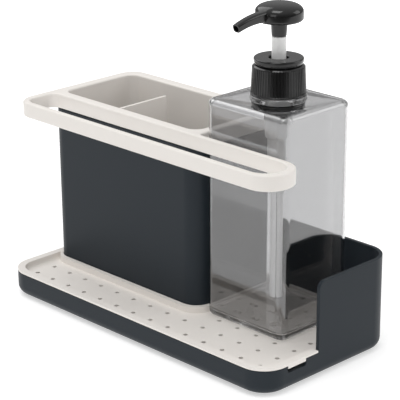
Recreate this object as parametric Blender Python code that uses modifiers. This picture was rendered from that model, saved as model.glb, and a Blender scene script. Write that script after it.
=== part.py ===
"""Sink organizer: base tray, drip tray, utensil holder with a cloth rail, and a lotion pump bottle.

The origin is on the ground under the centre of the base. +X runs along the cloth rail to the
right, +Y runs to the back and +Z points up. Lengths are in metres.
"""

import math

import bmesh
import bpy

MM = 0.001

# Room between neighbouring pieces, and what a cutter runs past its work
SEAT_GAP = 0.3 * MM
CUT_OVERRUN = 4.0 * MM
MERGE_DISTANCE = 0.001 * MM

# Fineness of the round shapes, as counts
CORNER_STEPS = 6
SMALL_CORNER_STEPS = 3
ROUND_STEPS = 40
SMALL_ROUND_STEPS = 24
HOLE_STEPS = 8

# Non-slip feet
FOOT_DIAMETER = 13.0 * MM
FOOT_THICKNESS = 1.5 * MM
FOOT_PROUD = 0.8 * MM
FOOT_EDGE = 0.3 * MM
FOOT_INSET = 19.0 * MM

# Base tray
BASE_LENGTH = 225.0 * MM
BASE_DEPTH = 108.5 * MM
BASE_CORNER = 16.0 * MM
BASE_RIM_HEIGHT = 15.1 * MM
BASE_WALL = 2.3 * MM
BASE_FLOOR = 2.4 * MM
BASE_HEEL = 6.0 * MM
BASE_INNER_HEEL = 3.5 * MM
HEEL_STEPS = 4
RAISED_WALL_HEIGHT = 58.0 * MM
RAISED_WALL_SIDE_START = 44.2 * MM
RAISED_WALL_BACK_RUN = 90.0 * MM
RAISED_WALL_FRONT_CORNER = 4.5 * MM
RAISED_WALL_LEFT_CORNER = 8.0 * MM
NOTCH_START = 18.8 * MM
NOTCH_WIDTH = 15.2 * MM
NOTCH_DEPTH = 4.0 * MM
NOTCH_CORNER = 1.5 * MM

# Drip tray
TRAY_RIM_THICKNESS = 1.2 * MM
TRAY_RIM_WIDTH = 4.8 * MM
TRAY_RIM_EDGE = 0.3 * MM
TRAY_DEPTH = 3.8 * MM
TRAY_FLOOR = 1.6 * MM
TRAY_WALL = 1.2 * MM
TRAY_FILLET = 1.4 * MM
FILLET_STEPS = 2
COLLAR_WIDTH = 3.0 * MM
COLLAR_CORNER = 13.4 * MM
HOLDER_CLEARANCE = 0.4 * MM
HOLE_DIAMETER = 2.6 * MM
HOLE_COLUMNS = 14
HOLE_ROWS = 7
HOLE_COLUMN_PITCH = 15.0 * MM
HOLE_ROW_PITCH = 14.0 * MM
HOLE_MARGIN = 1.2 * MM
DRAIN_COLUMN_STEP = 2
LUG_DROP = 1.8 * MM
LUG_SIDE_GAP = 0.4 * MM

# Utensil holder
HOLDER_LENGTH = 128.8 * MM
HOLDER_DEPTH = 66.6 * MM
HOLDER_CORNER = 10.5 * MM
HOLDER_WALL = 2.0 * MM
HOLDER_FLOOR = 2.4 * MM
HOLDER_DRAFT = 0.5 * MM
HOLDER_FOOT_EDGE = 0.8 * MM
HOLDER_DRAIN_DIAMETER = 6.0 * MM
HOLDER_DRAIN_COLUMNS = 4
HOLDER_DRAIN_ROWS = 2
HOLDER_DRAIN_PITCH = 28.0 * MM

# Insert with its cloth rail
INSERT_TOP_HEIGHT = 112.5 * MM
INSERT_THICKNESS = 9.4 * MM
INSERT_EDGE = 1.1 * MM
INSERT_SIDE_OVERHANG = 0.6 * MM
INSERT_FRONT_OVERHANG = 0.8 * MM
INSERT_BACK_OVERHANG = 3.3 * MM
INSERT_CORNER = 11.5 * MM
INSERT_RIM_WIDTH = 6.5 * MM
INSERT_BACK_RIM_WIDTH = 7.3 * MM
INSERT_LAND_WIDTH = 7.0 * MM
INSERT_STEP_CORNER = 3.0 * MM
COMPARTMENT_CORNER = 7.0 * MM
SKIRT_THICKNESS = 1.5 * MM
SKIRT_DEPTH = 38.0 * MM
DIVIDER_OFFSET = 50.4 * MM
DIVIDER_THICKNESS = 1.6 * MM
DIVIDER_REACH = 40.0 * MM
DIVIDER_DROP = 1.0 * MM
RAIL_REACH = 27.3 * MM
RAIL_BAR = 4.4 * MM
RAIL_END_BAR = 5.9 * MM
RAIL_BACK_BAR = 3.6 * MM
RAIL_RUN = 84.2 * MM
RAIL_CORNER = 12.5 * MM
SLOT_BACK_CORNER = 6.0 * MM

# Bottle
BOTTLE_LENGTH = 62.5 * MM
BOTTLE_DEPTH = 57.0 * MM
BOTTLE_HEIGHT = 134.0 * MM
BOTTLE_CORNER = 6.0 * MM
BOTTLE_TOP_EDGE = 3.0 * MM
BOTTLE_FOOT_EDGE = 2.5 * MM
BOTTLE_WALL = 2.2 * MM
BOTTLE_FLOOR = 7.0 * MM
BOTTLE_INNER_FILLET = 2.5 * MM
BOTTLE_DISH_DEPTH = 3.9 * MM
BOTTLE_RIM_GAP = 2.45 * MM
BOTTLE_RAIL_GAP = 1.6 * MM
SIDE_POINTS = 3
NECK_FOOT_RADIUS = 13.6 * MM
NECK_FOOT_HEIGHT = 3.6 * MM
BEAD_RADIUS = 16.6 * MM
BEAD_HEIGHT = 3.6 * MM
BEAD_EDGE = 1.0 * MM
NECK_RADIUS = 12.2 * MM
NECK_HEIGHT = 10.3 * MM
NECK_BORE = 10.6 * MM
SHOULDER_RADIUS = 15.8 * MM
NECK_RING_RADIUS = 15.5 * MM
NECK_RING_HEIGHT = 3.0 * MM
NECK_RING_EDGE = 0.5 * MM

# Closure with its ribs
CLOSURE_HEIGHT = 17.0 * MM
CLOSURE_FOOT_RADIUS = 15.9 * MM
CLOSURE_TOP_RADIUS = 15.2 * MM
CLOSURE_LIP_PROUD = 0.3 * MM
CLOSURE_LIP_HEIGHT = 0.9 * MM
CLOSURE_CHAMFER = 1.3 * MM
CLOSURE_CHAMFER_HEIGHT = 1.2 * MM
CLOSURE_WEB = 3.9 * MM
CLOSURE_BORE_GAP = 1.7 * MM
CLOSURE_RIBS = 60
CLOSURE_RIB_DEPTH = 0.35 * MM

# Lock collar on the closure
LOCK_HEIGHT = 3.9 * MM
LOCK_TOP_RADIUS = 14.4 * MM
LOCK_FOOT_RADIUS = 13.6 * MM
LOCK_EDGE = 0.7 * MM
LOCK_BORE = 5.75 * MM
LOCK_SPIGOT_RADIUS = 9.0 * MM

# Pump housing, its gasket and the dip tube
GASKET_THICKNESS = 0.8 * MM
GASKET_RADIUS = 12.0 * MM
GASKET_BORE = 11.0 * MM
FLANGE_RADIUS = 12.1 * MM
FLANGE_THICKNESS = 1.4 * MM
HOUSING_RADIUS = 7.1 * MM
HOUSING_LENGTH = 36.9 * MM
HOUSING_TAPER = 1.5 * MM
BARREL_RADIUS = 5.7 * MM
BARREL_LENGTH = 26.0 * MM
SOCKET_RADIUS = 4.9 * MM
SOCKET_LENGTH = 8.0 * MM
CYLINDER_BORE = 5.9 * MM
SPRING_BORE = 4.5 * MM
BALL_BORE = 2.4 * MM
SEAT_BORE = 1.3 * MM
SEAT_THICKNESS = 4.0 * MM
BALL_CHAMBER = 4.7 * MM
SPRING_CHAMBER = 18.5 * MM
DIP_TUBE_RADIUS = 3.5 * MM
DIP_TUBE_BORE = 2.6 * MM
DIP_TUBE_FLOOR_GAP = 5.6 * MM
BALL_RADIUS = 2.0 * MM

# Plunger: piston, stem, spring and head
STEM_RADIUS = 4.2 * MM
STEM_BORE = 1.9 * MM
STEM_EXPOSED = 12.0 * MM
STEM_SPIGOT_RADIUS = 3.2 * MM
STEM_SPIGOT_LENGTH = 7.0 * MM
STEM_TAIL_RADIUS = 3.0 * MM
STEM_TAIL_LENGTH = 7.3 * MM
STEM_HIDDEN = 18.4 * MM
PISTON_LENGTH = 6.0 * MM
PISTON_WAIST = 0.8 * MM
SPRING_WIRE = 0.8 * MM
SPRING_RADIUS = 2.9 * MM
SPRING_CURLS = 12
POINTS_PER_CURL = 10
HEAD_NECK_LENGTH = 8.7 * MM
HEAD_NECK_FOOT = 4.35 * MM
HEAD_NECK_TOP = 4.8 * MM
HEAD_RADIUS = 14.0 * MM
HEAD_SIDE = 5.6 * MM
HEAD_DOME = 5.1 * MM
HEAD_EDGE = 1.0 * MM
DOME_STEPS = 6
SPOUT_ROOT_RADIUS = 3.7 * MM
SPOUT_TIP_RADIUS = 2.75 * MM
SPOUT_BORE = 1.9 * MM
SPOUT_REACH = 34.6 * MM
SPOUT_RISE = 4.4 * MM
SPOUT_DROP = 3.2 * MM
SPOUT_INNER_START = 7.0 * MM
SPOUT_POINTS = 7
SPOUT_BEND_SHARE = 0.45

# Heights and edges that follow from the sizes above
BASE_BOTTOM = FOOT_PROUD
BASE_RIM_TOP = BASE_BOTTOM + BASE_RIM_HEIGHT
BASE_LEFT = -BASE_LENGTH / 2
BASE_RIGHT = BASE_LENGTH / 2
BASE_FRONT = -BASE_DEPTH / 2
BASE_BACK = BASE_DEPTH / 2
RAISED_WALL_TOP = BASE_BOTTOM + RAISED_WALL_HEIGHT
RAISED_WALL_FRONT = BASE_FRONT + RAISED_WALL_SIDE_START
RAISED_WALL_LEFT = BASE_RIGHT - RAISED_WALL_BACK_RUN
TRAY_RIM_BOTTOM = BASE_RIM_TOP + SEAT_GAP
TRAY_RIM_TOP = TRAY_RIM_BOTTOM + TRAY_RIM_THICKNESS
TRAY_FLOOR_TOP = TRAY_RIM_TOP - TRAY_DEPTH
TRAY_BOTTOM = TRAY_FLOOR_TOP - TRAY_FLOOR
HOLDER_LEFT = BASE_LEFT + BASE_WALL + SEAT_GAP + TRAY_WALL + HOLDER_CLEARANCE
HOLDER_BACK = BASE_BACK - BASE_WALL - SEAT_GAP - TRAY_WALL - HOLDER_CLEARANCE
HOLDER_RIGHT = HOLDER_LEFT + HOLDER_LENGTH
HOLDER_FRONT = HOLDER_BACK - HOLDER_DEPTH
HOLDER_BOTTOM = TRAY_FLOOR_TOP + SEAT_GAP
INSERT_TOP = TRAY_FLOOR_TOP + INSERT_TOP_HEIGHT
INSERT_BOTTOM = INSERT_TOP - INSERT_THICKNESS
HOLDER_TOP = INSERT_BOTTOM - SEAT_GAP
INSERT_LEFT = HOLDER_LEFT - HOLDER_DRAFT - INSERT_SIDE_OVERHANG
INSERT_RIGHT = HOLDER_RIGHT + HOLDER_DRAFT + INSERT_SIDE_OVERHANG
INSERT_BACK = HOLDER_BACK + HOLDER_DRAFT + INSERT_BACK_OVERHANG
INSERT_LAND_FRONT = HOLDER_FRONT - HOLDER_DRAFT - INSERT_FRONT_OVERHANG
RAIL_FRONT = INSERT_LAND_FRONT - RAIL_REACH
RAIL_BACK = INSERT_LAND_FRONT + RAIL_BACK_BAR
RAIL_RIGHT = INSERT_RIGHT + RAIL_RUN
COMPARTMENT_LEFT = INSERT_LEFT + INSERT_RIM_WIDTH
COMPARTMENT_RIGHT = INSERT_RIGHT - INSERT_RIM_WIDTH
COMPARTMENT_FRONT = INSERT_LAND_FRONT + INSERT_LAND_WIDTH
COMPARTMENT_BACK = INSERT_BACK - INSERT_BACK_RIM_WIDTH
SKIRT_BOTTOM = INSERT_BOTTOM - SKIRT_DEPTH
BOTTLE_X = INSERT_RIGHT + BOTTLE_RIM_GAP + BOTTLE_LENGTH / 2
BOTTLE_Y = RAIL_BACK + BOTTLE_RAIL_GAP + BOTTLE_DEPTH / 2
BOTTLE_BOTTOM = TRAY_FLOOR_TOP + SEAT_GAP
BOTTLE_TOP = BOTTLE_BOTTOM + BOTTLE_HEIGHT
BOTTLE_FLOOR_TOP = BOTTLE_BOTTOM + BOTTLE_FLOOR
NECK_FOOT = BOTTLE_TOP - BOTTLE_DISH_DEPTH
BEAD_BOTTOM = NECK_FOOT + NECK_FOOT_HEIGHT
BEAD_TOP = BEAD_BOTTOM + BEAD_HEIGHT
NECK_TOP = BEAD_TOP + NECK_HEIGHT
CLOSURE_BOTTOM = BEAD_TOP + SEAT_GAP
CLOSURE_TOP = CLOSURE_BOTTOM + CLOSURE_HEIGHT
CLOSURE_WEB_BOTTOM = CLOSURE_TOP - CLOSURE_WEB
GASKET_BOTTOM = NECK_TOP + SEAT_GAP
FLANGE_BOTTOM = GASKET_BOTTOM + GASKET_THICKNESS + SEAT_GAP
FLANGE_TOP = FLANGE_BOTTOM + FLANGE_THICKNESS
LOCK_BOTTOM = CLOSURE_TOP + SEAT_GAP
LOCK_TOP = LOCK_BOTTOM + LOCK_HEIGHT
BARREL_TOP = FLANGE_BOTTOM - HOUSING_LENGTH
SOCKET_TOP = BARREL_TOP - BARREL_LENGTH
SOCKET_BOTTOM = SOCKET_TOP - SOCKET_LENGTH
SEAT_LEVEL = SOCKET_TOP + SEAT_THICKNESS
SPRING_LEDGE = SEAT_LEVEL + BALL_CHAMBER
CYLINDER_FLOOR = SPRING_LEDGE + SPRING_CHAMBER
STEM_TOP = LOCK_TOP + STEM_EXPOSED
STEM_SHOULDER = LOCK_TOP - STEM_HIDDEN
STEM_BOTTOM = STEM_SHOULDER - STEM_TAIL_LENGTH
HEAD_NECK_BOTTOM = STEM_TOP + SEAT_GAP
HEAD_BOTTOM = HEAD_NECK_BOTTOM + HEAD_NECK_LENGTH
HEAD_SIDE_TOP = HEAD_BOTTOM + HEAD_SIDE
HEAD_TOP = HEAD_SIDE_TOP + HEAD_DOME

QUARTER = math.pi / 2
SMOOTH_ANGLE = math.radians(35)


# Scene, collections and materials

def clear_scene():
    """Remove every object that the file starts with."""
    for old in list(bpy.data.objects):
        bpy.data.objects.remove(old, do_unlink=True)


def new_collection(name):
    """Make a collection under the scene's own."""
    collection = bpy.data.collections.new(name)
    bpy.context.scene.collection.children.link(collection)
    return collection


def moulded_plastic(name, colour, roughness, transmission=0.0):
    """Make a plain Principled material."""
    material = bpy.data.materials.new(name)
    material.use_nodes = True
    shader = material.node_tree.nodes["Principled BSDF"]
    shader.inputs["Base Color"].default_value = (*colour, 1.0)
    shader.inputs["Roughness"].default_value = roughness
    shader.inputs["Metallic"].default_value = 0.0
    shader.inputs["Transmission Weight"].default_value = transmission
    material.diffuse_color = (*colour, 1.0)
    return material


# Outlines and basic solids

def arc(centre, radius, start, turn, steps):
    """Points along an arc, from the start angle through the turn."""
    points = []
    for index in range(steps + 1):
        angle = start + turn * index / steps
        points.append((centre[0] + radius * math.cos(angle), centre[1] + radius * math.sin(angle)))
    return points


def rounded_rectangle(left, right, front, back, corners, steps=CORNER_STEPS):
    """Anticlockwise outline with the radii given as front left, front right, back right, back left."""
    front_left, front_right, back_right, back_left = corners
    outline = arc((left + front_left, front + front_left), front_left, math.pi, QUARTER, steps)
    outline += arc((right - front_right, front + front_right), front_right, -QUARTER, QUARTER, steps)
    outline += arc((right - back_right, back - back_right), back_right, 0, QUARTER, steps)
    outline += arc((left + back_left, back - back_left), back_left, QUARTER, QUARTER, steps)
    return outline


def curve_to_solid(name, curve_object, collection):
    """Turn a closed curve object into a welded mesh object and remove the curve."""
    bpy.context.view_layer.update()
    evaluated = curve_object.evaluated_get(bpy.context.evaluated_depsgraph_get())
    mesh = bpy.data.meshes.new_from_object(evaluated)
    mesh.name = name
    build = bmesh.new()
    build.from_mesh(mesh)
    bmesh.ops.remove_doubles(build, verts=build.verts, dist=MERGE_DISTANCE)
    bmesh.ops.recalc_face_normals(build, faces=build.faces)
    build.to_mesh(mesh)
    build.free()
    solid = bpy.data.objects.new(name, mesh)
    solid.matrix_world = curve_object.matrix_world.copy()
    collection.objects.link(solid)
    curve = curve_object.data
    bpy.data.objects.remove(curve_object, do_unlink=True)
    bpy.data.curves.remove(curve)
    return solid


def flat_solid(name, outlines, bottom, top, collection, edge=0.0, edge_steps=1):
    """Solid between two levels from closed outlines, with both rims rounded by the edge radius."""
    curve = bpy.data.curves.new(name + "_sketch", "CURVE")
    curve.dimensions = "2D"
    curve.fill_mode = "BOTH"
    curve.extrude = (top - bottom) / 2 - edge
    curve.bevel_depth = edge
    curve.bevel_resolution = edge_steps
    curve.offset = -edge
    for outline in outlines:
        spline = curve.splines.new("POLY")
        spline.points.add(len(outline) - 1)
        for point, (x, y) in zip(spline.points, outline):
            point.co = (x, y, 0, 1)
        spline.use_cyclic_u = True
    sketch = bpy.data.objects.new(name + "_sketch", curve)
    sketch.location.z = (top + bottom) / 2
    collection.objects.link(sketch)
    solid = curve_to_solid(name, sketch, collection)
    place_in_mesh(solid)
    return solid


def place_in_mesh(solid):
    """Move an object's place into its mesh, so that its origin is the world's."""
    solid.data.transform(solid.matrix_world)
    solid.matrix_world.identity()


def merge_flat_caps(solid):
    """Join the triangles of each flat cap into one face."""
    build = bmesh.new()
    build.from_mesh(solid.data)
    bmesh.ops.dissolve_limit(
        build, angle_limit=math.radians(1), verts=build.verts, edges=build.edges
    )
    build.to_mesh(solid.data)
    build.free()


def round_rim(solid, level, radius, steps):
    """Round the edges that lie in one horizontal plane of a solid without holes."""
    merge_flat_caps(solid)
    build = bmesh.new()
    build.from_mesh(solid.data)
    rim = [
        edge for edge in build.edges
        if all(abs(vertex.co.z - level) < MERGE_DISTANCE for vertex in edge.verts)
    ]
    bmesh.ops.bevel(
        build, geom=rim, offset=radius, segments=steps, profile=0.5, affect="EDGES"
    )
    build.to_mesh(solid.data)
    build.free()


def spread_top(solid, level, centre, half_sizes, growth):
    """Widen a solid towards a level, so that its sides lean out by the growth."""
    for vertex in solid.data.vertices:
        rise = vertex.co.z / level
        vertex.co.x += (vertex.co.x - centre[0]) / half_sizes[0] * growth * rise
        vertex.co.y += (vertex.co.y - centre[1]) / half_sizes[1] * growth * rise


def turned_solid(name, profile, centre, steps, collection):
    """Turn a closed profile of radius and height pairs about an upright axis."""
    mesh = bpy.data.meshes.new(name)
    count = len(profile)
    edges = [(index, (index + 1) % count) for index in range(count)]
    on_axis = [index for index, point in enumerate(profile) if point[0] == 0]
    if len(on_axis) == 2:
        edges = [pair for pair in edges if set(pair) != set(on_axis)]
    mesh.from_pydata([(radius, 0, height) for radius, height in profile], edges, [])
    solid = bpy.data.objects.new(name, mesh)
    solid.location = (centre[0], centre[1], 0)
    collection.objects.link(solid)
    screw = solid.modifiers.new("Turn", "SCREW")
    screw.steps = steps
    screw.render_steps = steps
    screw.use_merge_vertices = True
    screw.merge_threshold = MERGE_DISTANCE
    screw.use_smooth_shade = True
    return solid


def round_bar(name, points, radii, sides, collection):
    """Round bar along points, with its own radius at each point."""
    curve = bpy.data.curves.new(name + "_sketch", "CURVE")
    curve.dimensions = "3D"
    curve.bevel_depth = 1.0
    curve.bevel_resolution = sides
    curve.use_fill_caps = True
    spline = curve.splines.new("POLY")
    spline.points.add(len(points) - 1)
    for point, place, radius in zip(spline.points, points, radii):
        point.co = (*place, 1)
        point.radius = radius
    sketch = bpy.data.objects.new(name + "_sketch", curve)
    collection.objects.link(sketch)
    return curve_to_solid(name, sketch, collection)


def lofted_solid(name, rings, collection, closed):
    """Skin rings of equal point counts, and cap the ends or join the last ring to the first."""
    build = bmesh.new()
    loops = [[build.verts.new(point) for point in ring] for ring in rings]
    pairs = list(zip(loops, loops[1:]))
    if closed:
        pairs.append((loops[-1], loops[0]))
    count = len(loops[0])
    for lower, upper in pairs:
        for index in range(count):
            after = (index + 1) % count
            build.faces.new((lower[index], lower[after], upper[after], upper[index]))
    if not closed:
        build.faces.new(list(reversed(loops[0])))
        build.faces.new(loops[-1])
    bmesh.ops.recalc_face_normals(build, faces=build.faces)
    mesh = bpy.data.meshes.new(name)
    build.to_mesh(mesh)
    build.free()
    solid = bpy.data.objects.new(name, mesh)
    collection.objects.link(solid)
    return solid


def shape_with(solid, tool, operation):
    """Cut a solid with a tool, or join the tool to it."""
    step = solid.modifiers.new(operation.title() + " " + tool.name, "BOOLEAN")
    step.operation = operation
    step.solver = "EXACT"
    step.object = tool
    tool.hide_render = True
    tool.display_type = "WIRE"


def finish(solid, material):
    """Give a piece its material."""
    solid.data.materials.clear()
    solid.data.materials.append(material)
    return solid


# Base tray and its feet

def foot_places():
    """Centres of the four feet, by name."""
    x = BASE_LENGTH / 2 - FOOT_INSET
    y = BASE_DEPTH / 2 - FOOT_INSET
    return {
        "foot_front_left": (-x, -y),
        "foot_front_right": (x, -y),
        "foot_back_left": (-x, y),
        "foot_back_right": (x, y),
    }


def foot_profile(radius, bottom, top, edge):
    """Profile of a round pad with a softened lower edge."""
    return [(0, top), (radius, top), (radius, bottom + edge), (radius - edge, bottom), (0, bottom)]


def build_feet(parts, material):
    """Round pads that sit in shallow seats under the base."""
    for name, place in foot_places().items():
        profile = foot_profile(FOOT_DIAMETER / 2, 0, FOOT_THICKNESS, FOOT_EDGE)
        finish(turned_solid(name, profile, place, SMALL_ROUND_STEPS, parts), material)


def step_outline(edge, level, top, end, corner):
    """Side outline of what is cut away in front of the raised wall's rounded end."""
    rounding = arc((edge + corner, top - corner), corner, math.pi, -QUARTER, CORNER_STEPS)
    outline = [(end, level), (edge, level)] + rounding
    outline += [(edge + corner, top + CUT_OVERRUN), (end, top + CUT_OVERRUN)]
    return outline


def side_prism(name, outline, start, end, along_x, cutters):
    """Prism from an upright outline, running along X or along Y."""
    prism = flat_solid(name, [outline], start, end, cutters)
    for vertex in prism.data.vertices:
        across, height, along = vertex.co
        vertex.co = (along, across, height) if along_x else (across, along, height)
    build = bmesh.new()
    build.from_mesh(prism.data)
    bmesh.ops.recalc_face_normals(build, faces=build.faces)
    build.to_mesh(prism.data)
    build.free()
    return prism


def build_base_tray(parts, cutters, material):
    """Shell with a raised wall round the back right corner and a pouring notch."""
    corners = (BASE_CORNER,) * 4
    outline = rounded_rectangle(BASE_LEFT, BASE_RIGHT, BASE_FRONT, BASE_BACK, corners)
    tray = flat_solid("base_tray", [outline], BASE_BOTTOM, RAISED_WALL_TOP, parts)
    round_rim(tray, BASE_BOTTOM, BASE_HEEL, HEEL_STEPS)

    inner = rounded_rectangle(
        BASE_LEFT + BASE_WALL, BASE_RIGHT - BASE_WALL, BASE_FRONT + BASE_WALL,
        BASE_BACK - BASE_WALL, (BASE_CORNER - BASE_WALL,) * 4
    )
    floor = BASE_BOTTOM + BASE_FLOOR
    hollow = flat_solid("base_hollow", [inner], floor, RAISED_WALL_TOP + CUT_OVERRUN, cutters)
    round_rim(hollow, floor, BASE_INNER_HEEL, FILLET_STEPS)
    shape_with(tray, hollow, "DIFFERENCE")

    front_step = step_outline(
        RAISED_WALL_FRONT, BASE_RIM_TOP, RAISED_WALL_TOP, BASE_FRONT - CUT_OVERRUN,
        RAISED_WALL_FRONT_CORNER
    )
    front_cut = side_prism(
        "front_cut", front_step, BASE_LEFT - CUT_OVERRUN, BASE_RIGHT + CUT_OVERRUN, True, cutters
    )
    shape_with(tray, front_cut, "DIFFERENCE")
    left_step = step_outline(
        RAISED_WALL_LEFT, BASE_RIM_TOP, RAISED_WALL_TOP, BASE_LEFT - CUT_OVERRUN,
        RAISED_WALL_LEFT_CORNER
    )
    left_cut = side_prism(
        "left_cut", left_step, BASE_FRONT - CUT_OVERRUN, BASE_BACK + CUT_OVERRUN, False, cutters
    )
    shape_with(tray, left_cut, "DIFFERENCE")

    start = BASE_FRONT + NOTCH_START
    notch_outline = rounded_rectangle(
        start, start + NOTCH_WIDTH, BASE_RIM_TOP - NOTCH_DEPTH, BASE_RIM_TOP + NOTCH_DEPTH,
        (NOTCH_CORNER,) * 4, SMALL_CORNER_STEPS
    )
    notch = side_prism(
        "pouring_notch", notch_outline, BASE_RIGHT - BASE_WALL - CUT_OVERRUN,
        BASE_RIGHT + CUT_OVERRUN, True, cutters
    )
    shape_with(tray, notch, "DIFFERENCE")

    seat_radius = FOOT_DIAMETER / 2 + SEAT_GAP
    seat_top = FOOT_THICKNESS + SEAT_GAP
    for name, place in foot_places().items():
        seat = turned_solid(
            "seat_of_" + name, foot_profile(seat_radius, -CUT_OVERRUN, seat_top, FOOT_EDGE),
            place, SMALL_ROUND_STEPS, cutters
        )
        shape_with(tray, seat, "DIFFERENCE")
    finish(tray, material)


# Drip tray

def tray_rim_outline():
    """Rim flush with the base's rim, drawn in where the raised wall stands."""
    inner_right = BASE_RIGHT - BASE_WALL - SEAT_GAP
    inner_back = BASE_BACK - BASE_WALL - SEAT_GAP
    inner_corner = BASE_CORNER - BASE_WALL - SEAT_GAP
    front, left = BASE_FRONT + BASE_CORNER, BASE_LEFT + BASE_CORNER
    outline = arc((left, front), BASE_CORNER, math.pi, QUARTER, CORNER_STEPS)
    outline += arc((BASE_RIGHT - BASE_CORNER, front), BASE_CORNER, -QUARTER, QUARTER, CORNER_STEPS)
    outline += [(BASE_RIGHT, RAISED_WALL_FRONT - SEAT_GAP)]
    outline += [(inner_right, RAISED_WALL_FRONT - SEAT_GAP)]
    outline += arc(
        (inner_right - inner_corner, inner_back - inner_corner), inner_corner, 0, QUARTER,
        CORNER_STEPS
    )
    outline += [(RAISED_WALL_LEFT - SEAT_GAP, inner_back), (RAISED_WALL_LEFT - SEAT_GAP, BASE_BACK)]
    outline += arc((left, BASE_BACK - BASE_CORNER), BASE_CORNER, QUARTER, QUARTER, CORNER_STEPS)
    return outline


def pan_rectangle(spread):
    """Outline of the pan's inside, widened by the spread."""
    inset = TRAY_RIM_WIDTH - spread
    return rounded_rectangle(
        BASE_LEFT + inset, BASE_RIGHT - inset, BASE_FRONT + inset, BASE_BACK - inset,
        (BASE_CORNER - inset,) * 4
    )


def recess_rectangle(spread):
    """Outline of the holder's foot, widened by the spread."""
    return rounded_rectangle(
        HOLDER_LEFT - spread, HOLDER_RIGHT + spread, HOLDER_FRONT - spread,
        HOLDER_BACK + spread, (HOLDER_CORNER + spread,) * 4
    )


def collar_rectangle():
    """Outer outline of the collar, which runs into the rim at the left and the back."""
    reach = HOLDER_CLEARANCE + COLLAR_WIDTH
    return rounded_rectangle(
        BASE_LEFT + BASE_WALL + SEAT_GAP, HOLDER_RIGHT + reach, HOLDER_FRONT - reach,
        BASE_BACK - BASE_WALL - SEAT_GAP, (COLLAR_CORNER,) * 4
    )


def hole_places():
    """Grid of drain holes: all in the open floor, and some under the holder."""
    radius = HOLE_DIAMETER / 2
    collar_right = HOLDER_RIGHT + HOLDER_CLEARANCE + COLLAR_WIDTH + radius + HOLE_MARGIN
    collar_front = HOLDER_FRONT - HOLDER_CLEARANCE - COLLAR_WIDTH - radius - HOLE_MARGIN
    inside_right = HOLDER_RIGHT - HOLDER_CORNER
    inside_front = HOLDER_FRONT + HOLDER_CORNER
    inside_left = HOLDER_LEFT + HOLDER_CORNER
    inside_back = HOLDER_BACK - HOLDER_CORNER
    places = []
    for row in range(HOLE_ROWS):
        y = (row - (HOLE_ROWS - 1) / 2) * HOLE_ROW_PITCH
        for column in range(HOLE_COLUMNS):
            x = (column - (HOLE_COLUMNS - 1) / 2) * HOLE_COLUMN_PITCH
            in_open = x > collar_right or y < collar_front
            under_holder = inside_left < x < inside_right and inside_front < y < inside_back
            if in_open or (under_holder and column % DRAIN_COLUMN_STEP == 0):
                places.append((x, y))
    return places


def drill_group(name, places, radius, bottom, top, steps, cutters):
    """Upright drills as one cutter."""
    build = bmesh.new()
    for x, y in places:
        made = bmesh.ops.create_cone(
            build, cap_ends=True, segments=steps, radius1=radius, radius2=radius,
            depth=top - bottom
        )
        bmesh.ops.translate(build, verts=made["verts"], vec=(x, y, (top + bottom) / 2))
    mesh = bpy.data.meshes.new(name)
    build.to_mesh(mesh)
    build.free()
    drills = bpy.data.objects.new(name, mesh)
    cutters.objects.link(drills)
    return drills


def build_drip_tray(parts, cutters, material):
    """Perforated tray that hangs in the base by its rim, with the collar and the lifting lug."""
    tray = flat_solid(
        "drip_tray", [tray_rim_outline()], TRAY_RIM_BOTTOM, TRAY_RIM_TOP, parts, TRAY_RIM_EDGE, 0
    )
    pan_top = TRAY_RIM_TOP - TRAY_RIM_EDGE
    pan = flat_solid("pan_body", [pan_rectangle(TRAY_WALL)], TRAY_BOTTOM, pan_top, cutters)
    shape_with(tray, pan, "UNION")

    start = BASE_FRONT + NOTCH_START + LUG_SIDE_GAP
    end = BASE_FRONT + NOTCH_START + NOTCH_WIDTH - LUG_SIDE_GAP
    lug_outline = [
        (BASE_RIGHT - TRAY_RIM_WIDTH, start), (BASE_RIGHT, start),
        (BASE_RIGHT, end), (BASE_RIGHT - TRAY_RIM_WIDTH, end),
    ]
    lug = flat_solid("lifting_lug", [lug_outline], TRAY_RIM_BOTTOM - LUG_DROP, pan_top, cutters)
    shape_with(tray, lug, "UNION")

    space = flat_solid(
        "pan_space", [pan_rectangle(0)], TRAY_FLOOR_TOP, TRAY_RIM_TOP + CUT_OVERRUN, cutters
    )
    round_rim(space, TRAY_FLOOR_TOP, TRAY_FILLET, FILLET_STEPS)
    shape_with(tray, space, "DIFFERENCE")

    collar = flat_solid(
        "collar_body", [collar_rectangle()], TRAY_BOTTOM, TRAY_RIM_TOP, cutters, TRAY_RIM_EDGE, 0
    )
    shape_with(tray, collar, "UNION")
    recess = flat_solid(
        "holder_recess", [recess_rectangle(HOLDER_CLEARANCE)], TRAY_FLOOR_TOP,
        TRAY_RIM_TOP + CUT_OVERRUN, cutters
    )
    shape_with(tray, recess, "DIFFERENCE")

    holes = drill_group(
        "drain_holes", hole_places(), HOLE_DIAMETER / 2, TRAY_BOTTOM - CUT_OVERRUN,
        TRAY_RIM_TOP + CUT_OVERRUN, HOLE_STEPS, cutters
    )
    shape_with(tray, holes, "DIFFERENCE")
    finish(tray, material)


# Utensil holder and its insert

def holder_drains():
    """Drain holes in the middle of the holder's floor."""
    x_middle = (HOLDER_LEFT + HOLDER_RIGHT) / 2
    y_middle = (HOLDER_FRONT + HOLDER_BACK) / 2
    places = []
    for row in range(HOLDER_DRAIN_ROWS):
        for column in range(HOLDER_DRAIN_COLUMNS):
            x = x_middle + (column - (HOLDER_DRAIN_COLUMNS - 1) / 2) * HOLDER_DRAIN_PITCH
            y = y_middle + (row - (HOLDER_DRAIN_ROWS - 1) / 2) * HOLDER_DRAIN_PITCH
            places.append((x, y))
    return places


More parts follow.
